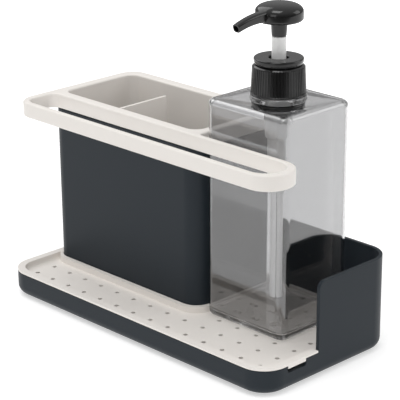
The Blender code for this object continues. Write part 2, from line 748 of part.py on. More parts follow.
def build_utensil_holder(parts, cutters, material):
    """Open bin with leaning sides and a drained floor."""
    middle = ((HOLDER_LEFT + HOLDER_RIGHT) / 2, (HOLDER_FRONT + HOLDER_BACK) / 2)
    half_sizes = (HOLDER_LENGTH / 2, HOLDER_DEPTH / 2)
    holder = flat_solid(
        "utensil_holder", [recess_rectangle(0)], HOLDER_BOTTOM, HOLDER_TOP, parts
    )
    round_rim(holder, HOLDER_BOTTOM, HOLDER_FOOT_EDGE, 1)
    spread_top(holder, HOLDER_TOP, middle, half_sizes, HOLDER_DRAFT)

    floor = HOLDER_BOTTOM + HOLDER_FLOOR
    space = flat_solid(
        "holder_space", [recess_rectangle(-HOLDER_WALL)], floor, HOLDER_TOP + CUT_OVERRUN, cutters
    )
    round_rim(space, floor, HOLDER_WALL, FILLET_STEPS)
    spread_top(space, HOLDER_TOP, middle, half_sizes, HOLDER_DRAFT)
    shape_with(holder, space, "DIFFERENCE")

    drains = drill_group(
        "holder_drains", holder_drains(), HOLDER_DRAIN_DIAMETER / 2, HOLDER_BOTTOM - CUT_OVERRUN,
        floor + CUT_OVERRUN, SMALL_ROUND_STEPS, cutters
    )
    shape_with(holder, drains, "DIFFERENCE")
    finish(holder, material)


def insert_outline():
    """Outer outline of the insert: the rim over the holder and the rail in front of it."""
    end_radius = (RAIL_BACK - RAIL_FRONT) / 2
    end_centre = (RAIL_RIGHT - end_radius, (RAIL_BACK + RAIL_FRONT) / 2)
    outline = arc(
        (INSERT_LEFT + RAIL_CORNER, RAIL_FRONT + RAIL_CORNER), RAIL_CORNER, math.pi, QUARTER,
        CORNER_STEPS
    )
    outline += arc(end_centre, end_radius, -QUARTER, math.pi, CORNER_STEPS * 2)
    step_centre = (INSERT_RIGHT + INSERT_STEP_CORNER, RAIL_BACK + INSERT_STEP_CORNER)
    outline += arc(step_centre, INSERT_STEP_CORNER, -QUARTER, -QUARTER, SMALL_CORNER_STEPS)
    outline += arc(
        (INSERT_RIGHT - INSERT_CORNER, INSERT_BACK - INSERT_CORNER), INSERT_CORNER, 0, QUARTER,
        CORNER_STEPS
    )
    outline += arc(
        (INSERT_LEFT + INSERT_CORNER, INSERT_BACK - INSERT_CORNER), INSERT_CORNER, QUARTER,
        QUARTER, CORNER_STEPS
    )
    return outline


def slot_outline():
    """Slot of the cloth rail, with a full round right end."""
    front = RAIL_FRONT + RAIL_BAR
    left = INSERT_LEFT + RAIL_BAR
    corner = RAIL_CORNER - RAIL_BAR
    end_radius = (INSERT_LAND_FRONT - front) / 2
    end_centre = (RAIL_RIGHT - RAIL_END_BAR - end_radius, front + end_radius)
    outline = arc((left + corner, front + corner), corner, math.pi, QUARTER, CORNER_STEPS)
    outline += arc(end_centre, end_radius, -QUARTER, math.pi, CORNER_STEPS * 2)
    outline += arc(
        (left + SLOT_BACK_CORNER, INSERT_LAND_FRONT - SLOT_BACK_CORNER), SLOT_BACK_CORNER,
        QUARTER, QUARTER, CORNER_STEPS
    )
    return outline


def compartment_rectangle(spread):
    """Outline of the compartments' opening, widened by the spread."""
    return rounded_rectangle(
        COMPARTMENT_LEFT - spread, COMPARTMENT_RIGHT + spread, COMPARTMENT_FRONT - spread,
        COMPARTMENT_BACK + spread, (COMPARTMENT_CORNER + spread,) * 4
    )


def build_holder_insert(parts, cutters, material):
    """Insert with its rim, cloth rail, skirt and divider, moulded in one piece."""
    insert = flat_solid(
        "holder_insert", [insert_outline(), slot_outline()], INSERT_BOTTOM, INSERT_TOP, parts,
        INSERT_EDGE, 1
    )
    skirt = flat_solid(
        "skirt_body", [compartment_rectangle(SKIRT_THICKNESS)], SKIRT_BOTTOM,
        INSERT_TOP - INSERT_EDGE, cutters
    )
    shape_with(insert, skirt, "UNION")
    space = flat_solid(
        "compartment_space", [compartment_rectangle(0)], SKIRT_BOTTOM - CUT_OVERRUN,
        INSERT_TOP + CUT_OVERRUN, cutters
    )
    shape_with(insert, space, "DIFFERENCE")
    divider_x = COMPARTMENT_LEFT + DIVIDER_OFFSET
    divider_outline = rounded_rectangle(
        divider_x - DIVIDER_THICKNESS / 2, divider_x + DIVIDER_THICKNESS / 2,
        COMPARTMENT_FRONT - SKIRT_THICKNESS / 2, COMPARTMENT_FRONT + DIVIDER_REACH,
        (DIVIDER_THICKNESS / 3,) * 4, 1
    )
    divider = flat_solid(
        "divider_body", [divider_outline], SKIRT_BOTTOM, INSERT_TOP - DIVIDER_DROP, cutters
    )
    shape_with(insert, divider, "UNION")
    finish(insert, material)


# Bottle

def square_ring(inset, height):
    """Rounded square ring of the bottle at one height, drawn in by the inset."""
    half_x = BOTTLE_LENGTH / 2 - inset
    half_y = BOTTLE_DEPTH / 2 - inset
    corner = max(BOTTLE_CORNER - inset, BOTTLE_CORNER / 3)
    ring = []
    for quarter in range(4):
        start = quarter * QUARTER
        sign_x = 1 if quarter in (0, 3) else -1
        sign_y = 1 if quarter in (0, 1) else -1
        centre = (sign_x * (half_x - corner), sign_y * (half_y - corner))
        ring += arc(centre, corner, start, QUARTER, CORNER_STEPS)
        next_sign_x = 1 if quarter in (3, 2) else -1
        next_sign_y = 1 if quarter in (3, 0) else -1
        after = (next_sign_x * (half_x - corner), next_sign_y * (half_y - corner))
        angle = start + QUARTER
        first = (centre[0] + corner * math.cos(angle), centre[1] + corner * math.sin(angle))
        last = (after[0] + corner * math.cos(angle), after[1] + corner * math.sin(angle))
        for index in range(1, SIDE_POINTS + 1):
            share = index / (SIDE_POINTS + 1)
            x = first[0] + (last[0] - first[0]) * share
            y = first[1] + (last[1] - first[1]) * share
            ring.append((x, y))
    return [(BOTTLE_X + x, BOTTLE_Y + y, height) for x, y in ring]


def round_ring(radius, height):
    """Round ring whose points face those of the square rings."""
    per_quarter = CORNER_STEPS + 1 + SIDE_POINTS
    count = 4 * per_quarter
    start = math.pi / 4 - CORNER_STEPS / 2 * 2 * math.pi / count
    ring = []
    for index in range(count):
        angle = start + 2 * math.pi * index / count
        x = BOTTLE_X + radius * math.cos(angle)
        y = BOTTLE_Y + radius * math.sin(angle)
        ring.append((x, y, height))
    return ring


def quarter_round(radius, steps):
    """Inset and drop pairs of a rounded edge, from its side to its top."""
    pairs = []
    for index in range(steps + 1):
        angle = QUARTER * index / steps
        pairs.append((radius - radius * math.cos(angle), radius - radius * math.sin(angle)))
    return pairs


def build_bottle(parts, material):
    """Square bottle with a dished top, a neck with its bead, and a hollow open at the mouth."""
    rings = []
    for inset, drop in reversed(quarter_round(BOTTLE_FOOT_EDGE, 3)):
        rings.append(square_ring(inset, BOTTLE_BOTTOM + drop))
    for inset, drop in quarter_round(BOTTLE_TOP_EDGE, 4):
        rings.append(square_ring(inset, BOTTLE_TOP - drop))
    rings.append(round_ring(SHOULDER_RADIUS, NECK_FOOT))
    rings.append(round_ring(NECK_FOOT_RADIUS, NECK_FOOT))
    rings.append(round_ring(NECK_FOOT_RADIUS, BEAD_BOTTOM))
    rings.append(round_ring(BEAD_RADIUS - BEAD_EDGE, BEAD_BOTTOM))
    rings.append(round_ring(BEAD_RADIUS, BEAD_BOTTOM + BEAD_EDGE))
    rings.append(round_ring(BEAD_RADIUS, BEAD_TOP - BEAD_EDGE))
    rings.append(round_ring(BEAD_RADIUS - BEAD_EDGE, BEAD_TOP))
    rings.append(round_ring(NECK_RADIUS, BEAD_TOP))
    rings.append(round_ring(NECK_RADIUS, NECK_TOP))
    rings.append(round_ring(NECK_BORE, NECK_TOP))
    inner_top = BOTTLE_TOP - BOTTLE_WALL
    inner_inset = BOTTLE_WALL + BOTTLE_INNER_FILLET
    rings.append(round_ring(NECK_BORE, NECK_FOOT - BOTTLE_WALL))
    rings.append(square_ring(inner_inset, inner_top))
    rings.append(square_ring(BOTTLE_WALL, inner_top - BOTTLE_INNER_FILLET))
    for inset, drop in quarter_round(BOTTLE_INNER_FILLET, 2):
        rings.append(square_ring(BOTTLE_WALL + inset, BOTTLE_FLOOR_TOP + drop))
    bottle = lofted_solid("bottle", rings, parts, False)
    finish(bottle, material)


def build_neck_ring(parts, material):
    """Ring round the foot of the neck."""
    bottom = NECK_FOOT + SEAT_GAP
    top = bottom + NECK_RING_HEIGHT
    bore = NECK_FOOT_RADIUS + SEAT_GAP
    profile = [
        (bore, top), (NECK_RING_RADIUS - NECK_RING_EDGE, top),
        (NECK_RING_RADIUS, top - NECK_RING_EDGE), (NECK_RING_RADIUS, bottom + NECK_RING_EDGE),
        (NECK_RING_RADIUS - NECK_RING_EDGE, bottom), (bore, bottom),
    ]
    ring = turned_solid("neck_ring", profile, (BOTTLE_X, BOTTLE_Y), ROUND_STEPS, parts)
    finish(ring, material)


# Closure and lock collar

def ribbed_ring(radius, height, depth):
    """Ring whose every other point is drawn in by the rib depth."""
    count = CLOSURE_RIBS * 2
    ring = []
    for index in range(count):
        angle = 2 * math.pi * index / count
        reach = radius - depth * (index % 2)
        ring.append((reach * math.cos(angle), reach * math.sin(angle), height))
    return ring


def build_closure_collar(parts, material):
    """Screw closure with upright ribs, a plain lip and a chamfered top."""
    bore = NECK_RADIUS + CLOSURE_BORE_GAP
    hole = LOCK_SPIGOT_RADIUS + SEAT_GAP
    lip_radius = CLOSURE_FOOT_RADIUS + CLOSURE_LIP_PROUD
    lip_top = CLOSURE_BOTTOM + CLOSURE_LIP_HEIGHT
    shoulder = CLOSURE_TOP - CLOSURE_CHAMFER_HEIGHT
    rings = [
        ribbed_ring(bore, CLOSURE_BOTTOM, 0),
        ribbed_ring(lip_radius, CLOSURE_BOTTOM, 0),
        ribbed_ring(lip_radius, lip_top, 0),
        ribbed_ring(CLOSURE_FOOT_RADIUS, lip_top, CLOSURE_RIB_DEPTH),
        ribbed_ring(CLOSURE_TOP_RADIUS, shoulder, CLOSURE_RIB_DEPTH),
        ribbed_ring(CLOSURE_TOP_RADIUS - CLOSURE_CHAMFER, CLOSURE_TOP, 0),
        ribbed_ring(hole, CLOSURE_TOP, 0),
        ribbed_ring(hole, CLOSURE_WEB_BOTTOM, 0),
        ribbed_ring(bore, CLOSURE_WEB_BOTTOM, 0),
    ]
    closure = lofted_solid("closure_collar", rings, parts, True)
    closure.location = (BOTTLE_X, BOTTLE_Y, 0)
    finish(closure, material)


def build_lock_collar(parts, material):
    """Disc on the closure, with the spigot that holds the pump housing."""
    profile = [
        (LOCK_BORE, LOCK_TOP), (LOCK_TOP_RADIUS - LOCK_EDGE, LOCK_TOP),
        (LOCK_TOP_RADIUS, LOCK_TOP - LOCK_EDGE), (LOCK_TOP_RADIUS, LOCK_TOP - LOCK_HEIGHT / 2),
        (LOCK_FOOT_RADIUS, LOCK_BOTTOM), (LOCK_SPIGOT_RADIUS, LOCK_BOTTOM),
        (LOCK_SPIGOT_RADIUS, FLANGE_TOP + SEAT_GAP), (LOCK_BORE, FLANGE_TOP + SEAT_GAP),
    ]
    collar = turned_solid("lock_collar", profile, (BOTTLE_X, BOTTLE_Y), ROUND_STEPS, parts)
    finish(collar, material)


# Pump housing, gasket, dip tube and inlet valve

def build_housing_gasket(parts, material):
    """Flat seal on the bottle's mouth."""
    top = GASKET_BOTTOM + GASKET_THICKNESS
    profile = [
        (GASKET_BORE, top), (GASKET_RADIUS, top),
        (GASKET_RADIUS, GASKET_BOTTOM), (GASKET_BORE, GASKET_BOTTOM),
    ]
    gasket = turned_solid("housing_gasket", profile, (BOTTLE_X, BOTTLE_Y), ROUND_STEPS, parts)
    finish(gasket, material)


def build_pump_housing(parts, material):
    """Stepped cylinder that hangs from its flange and ends in the dip tube's socket."""
    tube_bore = DIP_TUBE_RADIUS + SEAT_GAP
    profile = [
        (CYLINDER_BORE, FLANGE_TOP), (FLANGE_RADIUS, FLANGE_TOP),
        (FLANGE_RADIUS, FLANGE_BOTTOM), (HOUSING_RADIUS, FLANGE_BOTTOM),
        (HOUSING_RADIUS, BARREL_TOP), (BARREL_RADIUS, BARREL_TOP - HOUSING_TAPER),
        (BARREL_RADIUS, SOCKET_TOP), (SOCKET_RADIUS, SOCKET_TOP - HOUSING_TAPER),
        (SOCKET_RADIUS, SOCKET_BOTTOM), (tube_bore, SOCKET_BOTTOM),
        (tube_bore, SOCKET_TOP - SEAT_GAP), (SEAT_BORE, SOCKET_TOP - SEAT_GAP),
        (SEAT_BORE, SEAT_LEVEL), (BALL_BORE, SEAT_LEVEL),
        (BALL_BORE, SPRING_LEDGE), (SPRING_BORE, SPRING_LEDGE),
        (SPRING_BORE, CYLINDER_FLOOR), (CYLINDER_BORE, CYLINDER_FLOOR),
    ]
    housing = turned_solid("pump_housing", profile, (BOTTLE_X, BOTTLE_Y), SMALL_ROUND_STEPS, parts)
    finish(housing, material)


def build_dip_tube(parts, material):
    """Suction tube from the housing's socket to just above the bottle's floor."""
    top = SOCKET_TOP - 2 * SEAT_GAP
    bottom = BOTTLE_FLOOR_TOP + DIP_TUBE_FLOOR_GAP
    profile = [
        (DIP_TUBE_BORE, top), (DIP_TUBE_RADIUS, top),
        (DIP_TUBE_RADIUS, bottom), (DIP_TUBE_BORE, bottom),
    ]
    tube = turned_solid("dip_tube", profile, (BOTTLE_X, BOTTLE_Y), SMALL_ROUND_STEPS, parts)
    finish(tube, material)


def ball_height():
    """Height of the ball's centre when it rests just over the rim of its seat."""
    return SEAT_LEVEL + math.sqrt(BALL_RADIUS ** 2 - SEAT_BORE ** 2) + SEAT_GAP


def build_valve_ball(parts, material):
    """Ball of the inlet valve."""
    build = bmesh.new()
    bmesh.ops.create_uvsphere(build, u_segments=16, v_segments=10, radius=BALL_RADIUS)
    mesh = bpy.data.meshes.new("valve_ball")
    build.to_mesh(mesh)
    build.free()
    mesh.shade_smooth()
    ball = bpy.data.objects.new("valve_ball", mesh)
    ball.location = (BOTTLE_X, BOTTLE_Y, ball_height())
    parts.objects.link(ball)
    finish(ball, material)


# Spring, piston, stem and head

def spring_points():
    """Centre line of the return spring, from its ledge to the stem."""
    bottom = SPRING_LEDGE + SEAT_GAP + SPRING_WIRE / 2
    top = STEM_BOTTOM - SEAT_GAP - SPRING_WIRE / 2
    count = SPRING_CURLS * POINTS_PER_CURL
    points = []
    for index in range(count + 1):
        angle = 2 * math.pi * index / POINTS_PER_CURL
        height = bottom + (top - bottom) * index / count
        points.append((SPRING_RADIUS * math.cos(angle), SPRING_RADIUS * math.sin(angle), height))
    return points


def report_spring_gap(points):
    """Print the least gap between neighbouring curls."""
    pairs = zip(points, points[POINTS_PER_CURL:])
    least = min(math.dist(lower, upper) for lower, upper in pairs) - SPRING_WIRE
    print("return_spring least gap to itself:", round(least / MM, 2), "mm")


def build_return_spring(parts, material):
    """Coil spring that lifts the plunger."""
    points = spring_points()
    report_spring_gap(points)
    radii = [SPRING_WIRE / 2] * len(points)
    spring = round_bar("return_spring", points, radii, 1, parts)
    spring.location = (BOTTLE_X, BOTTLE_Y, 0)
    finish(spring, material)


def build_pump_piston(parts, material):
    """Piston with two sealing lips and a waist between them."""
    bore = STEM_TAIL_RADIUS + SEAT_GAP
    lip = CYLINDER_BORE - SEAT_GAP
    waist = lip - PISTON_WAIST
    top = STEM_SHOULDER - SEAT_GAP
    bottom = top - PISTON_LENGTH
    profile = [
        (bore, top), (lip, top), (waist, top - PISTON_LENGTH / 3),
        (waist, bottom + PISTON_LENGTH / 3), (lip, bottom), (bore, bottom),
    ]
    piston = turned_solid("pump_piston", profile, (BOTTLE_X, BOTTLE_Y), SMALL_ROUND_STEPS, parts)
    finish(piston, material)


def build_pump_stem(parts, material):
    """Hollow stem with a tail for the piston and a spigot for the head."""
    profile = [
        (STEM_BORE, STEM_TOP + STEM_SPIGOT_LENGTH), (STEM_SPIGOT_RADIUS, STEM_TOP + STEM_SPIGOT_LENGTH),
        (STEM_SPIGOT_RADIUS, STEM_TOP), (STEM_RADIUS, STEM_TOP),
        (STEM_RADIUS, STEM_SHOULDER), (STEM_TAIL_RADIUS, STEM_SHOULDER),
        (STEM_TAIL_RADIUS, STEM_BOTTOM), (STEM_BORE, STEM_BOTTOM),
    ]
    stem = turned_solid("pump_stem", profile, (BOTTLE_X, BOTTLE_Y), SMALL_ROUND_STEPS, parts)
    finish(stem, material)


def head_profile():
    """Profile of the domed head with its neck, from the crown down."""
    profile = []
    for index in range(DOME_STEPS + 1):
        angle = QUARTER * (1 - index / DOME_STEPS)
        radius = HEAD_RADIUS * math.cos(angle) if index else 0
        profile.append((radius, HEAD_SIDE_TOP + HEAD_DOME * math.sin(angle)))
    profile += [
        (HEAD_RADIUS, HEAD_BOTTOM + HEAD_EDGE), (HEAD_RADIUS - HEAD_EDGE, HEAD_BOTTOM),
        (HEAD_NECK_TOP, HEAD_BOTTOM), (HEAD_NECK_FOOT, HEAD_NECK_BOTTOM), (0, HEAD_NECK_BOTTOM),
    ]
    return profile


def spout_path(start, reach):
    """Centre line of the spout: level at the head, then curving down to the tip."""
    level = HEAD_BOTTOM + SPOUT_RISE
    bend = SPOUT_REACH * SPOUT_BEND_SHARE
    points = []
    for index in range(SPOUT_POINTS):
        out = start + (reach - start) * index / (SPOUT_POINTS - 1)
        past = max(0, out - bend) / (SPOUT_REACH - bend)
        points.append((0, -out, level - SPOUT_DROP * past ** 2))
    return points


def spout_radii(points):
    """Radius at each point of the spout, tapering to the tip."""
    radii = []
    for point in points:
        share = -point[1] / SPOUT_REACH
        radii.append(SPOUT_ROOT_RADIUS + (SPOUT_TIP_RADIUS - SPOUT_ROOT_RADIUS) * share)
    return radii


def build_pump_head(parts, cutters, material):
    """Domed head with its spout, the stem's socket and the passage between them."""
    centre = (BOTTLE_X, BOTTLE_Y)
    head = turned_solid("pump_head", head_profile(), centre, ROUND_STEPS, parts)

    path = spout_path(SPOUT_INNER_START, SPOUT_REACH)
    spout = round_bar("spout_body", path, spout_radii(path), 4, cutters)
    spout.location = (BOTTLE_X, BOTTLE_Y, 0)
    shape_with(head, spout, "UNION")

    socket_radius = STEM_SPIGOT_RADIUS + SEAT_GAP
    socket_top = STEM_TOP + STEM_SPIGOT_LENGTH + SEAT_GAP
    level = HEAD_BOTTOM + SPOUT_RISE
    socket_profile = [
        (0, level), (SPOUT_BORE, level), (SPOUT_BORE, socket_top), (socket_radius, socket_top),
        (socket_radius, HEAD_NECK_BOTTOM - CUT_OVERRUN), (0, HEAD_NECK_BOTTOM - CUT_OVERRUN),
    ]
    socket = turned_solid("stem_socket", socket_profile, centre, SMALL_ROUND_STEPS, cutters)
    shape_with(head, socket, "DIFFERENCE")

    bore_path = spout_path(0, SPOUT_REACH + CUT_OVERRUN)
    passage = round_bar(
        "spout_passage", bore_path, [SPOUT_BORE] * len(bore_path), 2, cutters
    )
    passage.location = (BOTTLE_X, BOTTLE_Y, 0)
    shape_with(head, passage, "DIFFERENCE")
    finish(head, material)


def build_joint_axes(parts):
    """Empties on the axes that the moving pieces travel along or turn about."""
    axes = {
        "pump_axis": (BOTTLE_X, BOTTLE_Y, LOCK_TOP),
        "closure_axis": (BOTTLE_X, BOTTLE_Y, CLOSURE_BOTTOM),
        "valve_axis": (BOTTLE_X, BOTTLE_Y, SEAT_LEVEL),
        "tray_lift_axis": (0, 0, TRAY_BOTTOM),
    }
    for name, place in axes.items():
        axis = bpy.data.objects.new(name, None)
        axis.empty_display_type = "SINGLE_ARROW"
        axis.empty_display_size = BOTTLE_LENGTH
        axis.location = place
        parts.objects.link(axis)


def main():
    """Build every piece of the organizer."""
    clear_scene()
    parts = new_collection("sink_organizer")
    cutters = new_collection("cutters")
    slate = moulded_plastic("slate_plastic", (0.043, 0.052, 0.060), 0.42)
    stone = moulded_plastic("stone_plastic", (0.70, 0.68, 0.64), 0.48)
    smoke = moulded_plastic("smoke_clear_plastic", (0.55, 0.56, 0.57), 0.05, 1.0)
    black = moulded_plastic("black_gloss_plastic", (0.012, 0.012, 0.013), 0.22)
    white = moulded_plastic("white_plastic", (0.85, 0.85, 0.85), 0.35)
    rubber = moulded_plastic("grey_rubber", (0.10, 0.10, 0.10), 0.80)
    steel = moulded_plastic("spring_steel", (0.62, 0.62, 0.63), 0.28)
    steel.node_tree.nodes["Principled BSDF"].inputs["Metallic"].default_value = 1.0

    build_base_tray(parts, cutters, slate)
    build_feet(parts, rubber)
    build_drip_tray(parts, cutters, stone)
    build_utensil_holder(parts, cutters, slate)
    build_holder_insert(parts, cutters, stone)
    build_bottle(parts, smoke)
    build_neck_ring(parts, black)
    build_closure_collar(parts, black)
    build_lock_collar(parts, black)
    build_housing_gasket(parts, rubber)
    build_pump_housing(parts, white)
    build_dip_tube(parts, white)
    build_valve_ball(parts, steel)
    build_return_spring(parts, steel)
    build_pump_piston(parts, white)
    build_pump_stem(parts, white)
    build_pump_head(parts, cutters, black)
    build_joint_axes(parts)


main()
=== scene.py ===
"""Looks of the sink organizer: the finished pieces, their plastics and the studio around them.

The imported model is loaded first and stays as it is. Every piece made here is in metres, in the
model's own frame: the ground is at zero, +X runs along the cloth rail and +Y runs to the back.
"""

from __future__ import annotations

import logging
import math
from collections.abc import Iterable, Sequence
from dataclasses import dataclass
from enum import Enum
from typing import TypeVar

import bmesh
import bpy
from mathutils import Matrix, Vector


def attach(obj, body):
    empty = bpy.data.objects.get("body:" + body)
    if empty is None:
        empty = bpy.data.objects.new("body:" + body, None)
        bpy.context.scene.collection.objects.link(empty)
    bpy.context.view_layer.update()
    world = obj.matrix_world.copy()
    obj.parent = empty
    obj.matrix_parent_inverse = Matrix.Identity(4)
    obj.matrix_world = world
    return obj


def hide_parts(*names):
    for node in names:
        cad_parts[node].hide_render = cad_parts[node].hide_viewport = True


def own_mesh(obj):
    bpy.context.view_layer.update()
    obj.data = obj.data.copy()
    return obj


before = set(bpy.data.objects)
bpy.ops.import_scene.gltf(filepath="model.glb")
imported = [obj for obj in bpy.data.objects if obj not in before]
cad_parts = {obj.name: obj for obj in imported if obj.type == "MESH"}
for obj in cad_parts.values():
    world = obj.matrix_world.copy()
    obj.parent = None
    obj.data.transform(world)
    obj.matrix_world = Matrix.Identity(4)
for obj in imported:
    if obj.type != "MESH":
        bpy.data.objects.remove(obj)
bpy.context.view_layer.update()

LOG = logging.getLogger("sink_organizer")
QUARTER = math.pi / 2
WHOLE = 2 * math.pi
# Points closer than this are one point.
WELD = 1e-6
# Share of a full round end that is rounded, so that its two roundings never meet.
NEARLY = 0.9999
# How far a cutting tool runs past the piece.
OVERRUN = 0.004
Part = TypeVar("Part")
Shape = bmesh.types.BMesh


# Bmesh tools


class Rim(Enum):
    """Which end of an upright solid is meant."""

    LOWER = "lower"
    UPPER = "upper"


class Joining(Enum):
    """How a tool changes the piece that it is used on."""

    CUT = "DIFFERENCE"
    JOIN = "UNION"


@dataclass(frozen=True)
class Corner:
    """One corner of an outline: its place and the radius that rounds it."""

    x: float
    y: float
    radius: float = 0.0
    steps: int = 14


def traced(*rows: tuple[float, ...]) -> list[Corner]:
    """Return corners from rows of x, y, radius and steps, where a sharp one has x and y alone."""
    return [Corner(*row) for row in rows]


def only(parts: Iterable[object], kind: type[Part]) -> list[Part]:
    """Return the parts that are of one kind."""
    return [part for part in parts if isinstance(part, kind)]


def at_level(parts: Iterable[Part], level: float, reach: float = WELD) -> list[Part]:
    """Return the edges or faces whose points all lie at one height."""
    return [part for part in parts if all(abs(point.co.z - level) < reach for point in part.verts)]


def rounded(
    shape: Shape, parts: Sequence[Part], radius: float, steps: int,
    kind: str = "EDGES",
) -> None:
    """Round points or edges.

    Args:
        shape: The bmesh that they are in.
        parts: The points or the edges.
        radius: Radius of the rounding.
        steps: Number of steps in the rounding.
        kind: VERTICES or EDGES.
    """
    bmesh.ops.bevel(
        shape, geom=parts, offset=radius, offset_type="OFFSET", segments=steps, profile=0.5,
        affect=kind, material=-1,
    )


def rounded_face(shape: Shape, corners: Sequence[Corner]) -> bmesh.types.BMFace:
    """Make a flat face from its corners and round each of them.

    Args:
        shape: The bmesh that the face goes into.
        corners: The corners in order, anticlockwise seen from above.

    Returns:
        The rounded face, at height zero.
    """
    points = [shape.verts.new((corner.x, corner.y, 0.0)) for corner in corners]
    shape.faces.new(points)
    for point, corner in zip(points, corners):
        if corner.radius > 0.0:
            rounded(shape, [point], corner.radius, corner.steps, "VERTICES")
    shape.faces.ensure_lookup_table()
    return shape.faces[0]


def rectangle(
    left: float, right: float, front: float, back: float, radii: Sequence[float], steps: int = 14
) -> list[Corner]:
    """Return the corners of a rectangle, with radii from front left round to back left."""
    places = ((left, front), (right, front), (right, back), (left, back))
    return [Corner(x, y, radius, steps) for (x, y), radius in zip(places, radii)]


def raised(corners: Sequence[Corner], bottom: float, top: float) -> Shape:
    """Raise an outline into an upright solid.

    Args:
        corners: The outline's corners.
        bottom: Height of the lower face.
        top: Height of the upper face.

    Returns:
        A closed bmesh.
    """
    shape = bmesh.new()
    face = rounded_face(shape, corners)
    bmesh.ops.translate(shape, verts=list(face.verts), vec=(0.0, 0.0, bottom))
    grown = bmesh.ops.extrude_face_region(shape, geom=[face], use_keep_orig=True)["geom"]
    upper = only(grown, bmesh.types.BMVert)
    bmesh.ops.translate(shape, verts=upper, vec=(0.0, 0.0, top - bottom))
    return closed(shape)


def soften_rim(shape: Shape, rim: Rim, radius: float, steps: int) -> None:
    """Round the whole lower or upper rim of an upright solid.

    Args:
        shape: The solid.
        rim: The rim to round.
        radius: Radius of the rounding.
        steps: Number of steps in the rounding.
    """
    heights = [point.co.z for point in shape.verts]
    level = min(heights) if rim is Rim.LOWER else max(heights)
    rounded(shape, at_level(shape.edges, level), radius, steps)


def drawn_on(
    shape: Shape, edges: Sequence[bmesh.types.BMEdge]
) -> tuple[list[bmesh.types.BMVert], list[bmesh.types.BMEdge]]:
    """Draw a ring of edges on into a next ring, and return its points and edges."""
    grown = bmesh.ops.extrude_edge_only(shape, edges=edges)["geom"]
    return only(grown, bmesh.types.BMVert), only(grown, bmesh.types.BMEdge)


def closed(shape: Shape) -> Shape:
    """Turn all faces of a closed shape outwards, and return the shape."""
    bmesh.ops.recalc_face_normals(shape, faces=list(shape.faces))
    return shape


def spun(shape: Shape, steps: int) -> None:
    """Turn an upright line of edges once about the upright axis.

    Args:
        shape: The bmesh that holds the line and nothing else.
        steps: Number of steps round the axis.
    """
    bmesh.ops.spin(
        shape, geom=list(shape.verts) + list(shape.edges), cent=(0, 0, 0), axis=(0, 0, 1),
        dvec=(0, 0, 0), angle=WHOLE, steps=steps, use_merge=True,
    )
    bmesh.ops.remove_doubles(shape, verts=list(shape.verts), dist=WELD)


def moved_to(shape: Shape, centre: Vector) -> Shape:
    """Move a shape made about the upright axis to its centre, and return it."""
    bmesh.ops.translate(shape, verts=list(shape.verts), vec=(centre.x, centre.y, 0.0))
    return shape


def turned(section: Sequence[Corner], centre: Vector, steps: int) -> Shape:
    """Turn a rounded section about an upright axis.

    Args:
        section: Corners of the section, with x as the radius and y as the height.
        centre: A point on the axis.
        steps: Number of steps round the axis.

    Returns:
        A closed bmesh.
    """
    shape = bmesh.new()
    face = rounded_face(shape, section)
    bmesh.ops.delete(shape, geom=[face], context="FACES_ONLY")
    on_axis = [
        edge for edge in shape.edges if all(abs(point.co.x) < WELD for point in edge.verts)
    ]
    bmesh.ops.delete(shape, geom=on_axis, context="EDGES")
    bmesh.ops.transform(shape, matrix=Matrix.Rotation(QUARTER, 4, "X"), verts=list(shape.verts))
    spun(shape, steps)
    return closed(moved_to(shape, centre))


def laid_along(shape: Shape, rows: Sequence[Sequence[int]]) -> Shape:
    """Lay an upright solid down.

    Args:
        shape: The solid.
        rows: The turn's three rows.

    Returns:
        The same bmesh.
    """
    bmesh.ops.transform(shape, matrix=Matrix(rows).to_4x4(), verts=list(shape.verts))
    return closed(shape)


def laid_along_x(shape: Shape) -> Shape:
    """Turn an upright solid so that its outline's x, y and height become y, z and x."""
    return laid_along(shape, ((0, 0, 1), (1, 0, 0), (0, 1, 0)))


def laid_along_y(shape: Shape) -> Shape:
    """Turn an upright solid so that its outline's x, y and height become x, z and y."""
    return laid_along(shape, ((1, 0, 0), (0, 0, 1), (0, 1, 0)))


def drills(
    places: Sequence[tuple[float, float]], radius: float, bottom: float, top: float, steps: int
) -> Shape:
    """Make upright drills.

    Args:
        places: Where they stand.
        radius: Their radius.
        bottom: Their lower height.
        top: Their upper height.
        steps: Number of steps round each.

    Returns:
        All of them as one bmesh.
    """
    shape = bmesh.new()
    for x, y in places:
        bmesh.ops.create_cone(
            shape, cap_ends=True, segments=steps, radius1=radius, radius2=radius,
            depth=top - bottom, matrix=Matrix.Translation((x, y, (bottom + top) / 2)),
        )
    return shape


def leaned(
    shape: Shape, centre: Vector, height: float, half: Vector, growth: float
) -> None:
    """Widen an upright solid towards its top, so that its sides lean outwards.

    Args:
        shape: The solid.
        centre: Middle of its plan.
        height: Height at which the growth is reached; at the ground it is nothing.
        half: Half of its length and width.
        growth: How far each side moves out at that height.
    """
    levels: dict[int, list[bmesh.types.BMVert]] = {}
    for point in shape.verts:
        levels.setdefault(round(point.co.z / WELD), []).append(point)
    for points in levels.values():
        share = points[0].co.z / height
        bmesh.ops.scale(
            shape, verts=points, vec=(1 + growth * share / half.x, 1 + growth * share / half.y, 1),
            space=Matrix.Translation((-centre.x, -centre.y, 0.0)),
        )


def take_in(shape: Shape, part: Shape) -> None:
    """Add a part to a shape as it is.

    Args:
        shape: The shape that takes it in.
        part: The part, which is used up.
    """
    mesh = bpy.data.meshes.new("part")
    part.to_mesh(mesh)
    part.free()
    shape.from_mesh(mesh)
    bpy.data.meshes.remove(mesh)


def placed(name: str, data: bpy.types.ID) -> bpy.types.Object:
    """Put data into the scene as a new object.

    Args:
        name: The object's name.
        data: Its mesh, light or camera.

    Returns:
        The object.
    """
    item = bpy.data.objects.new(name, data)
    bpy.context.scene.collection.objects.link(item)
    return item


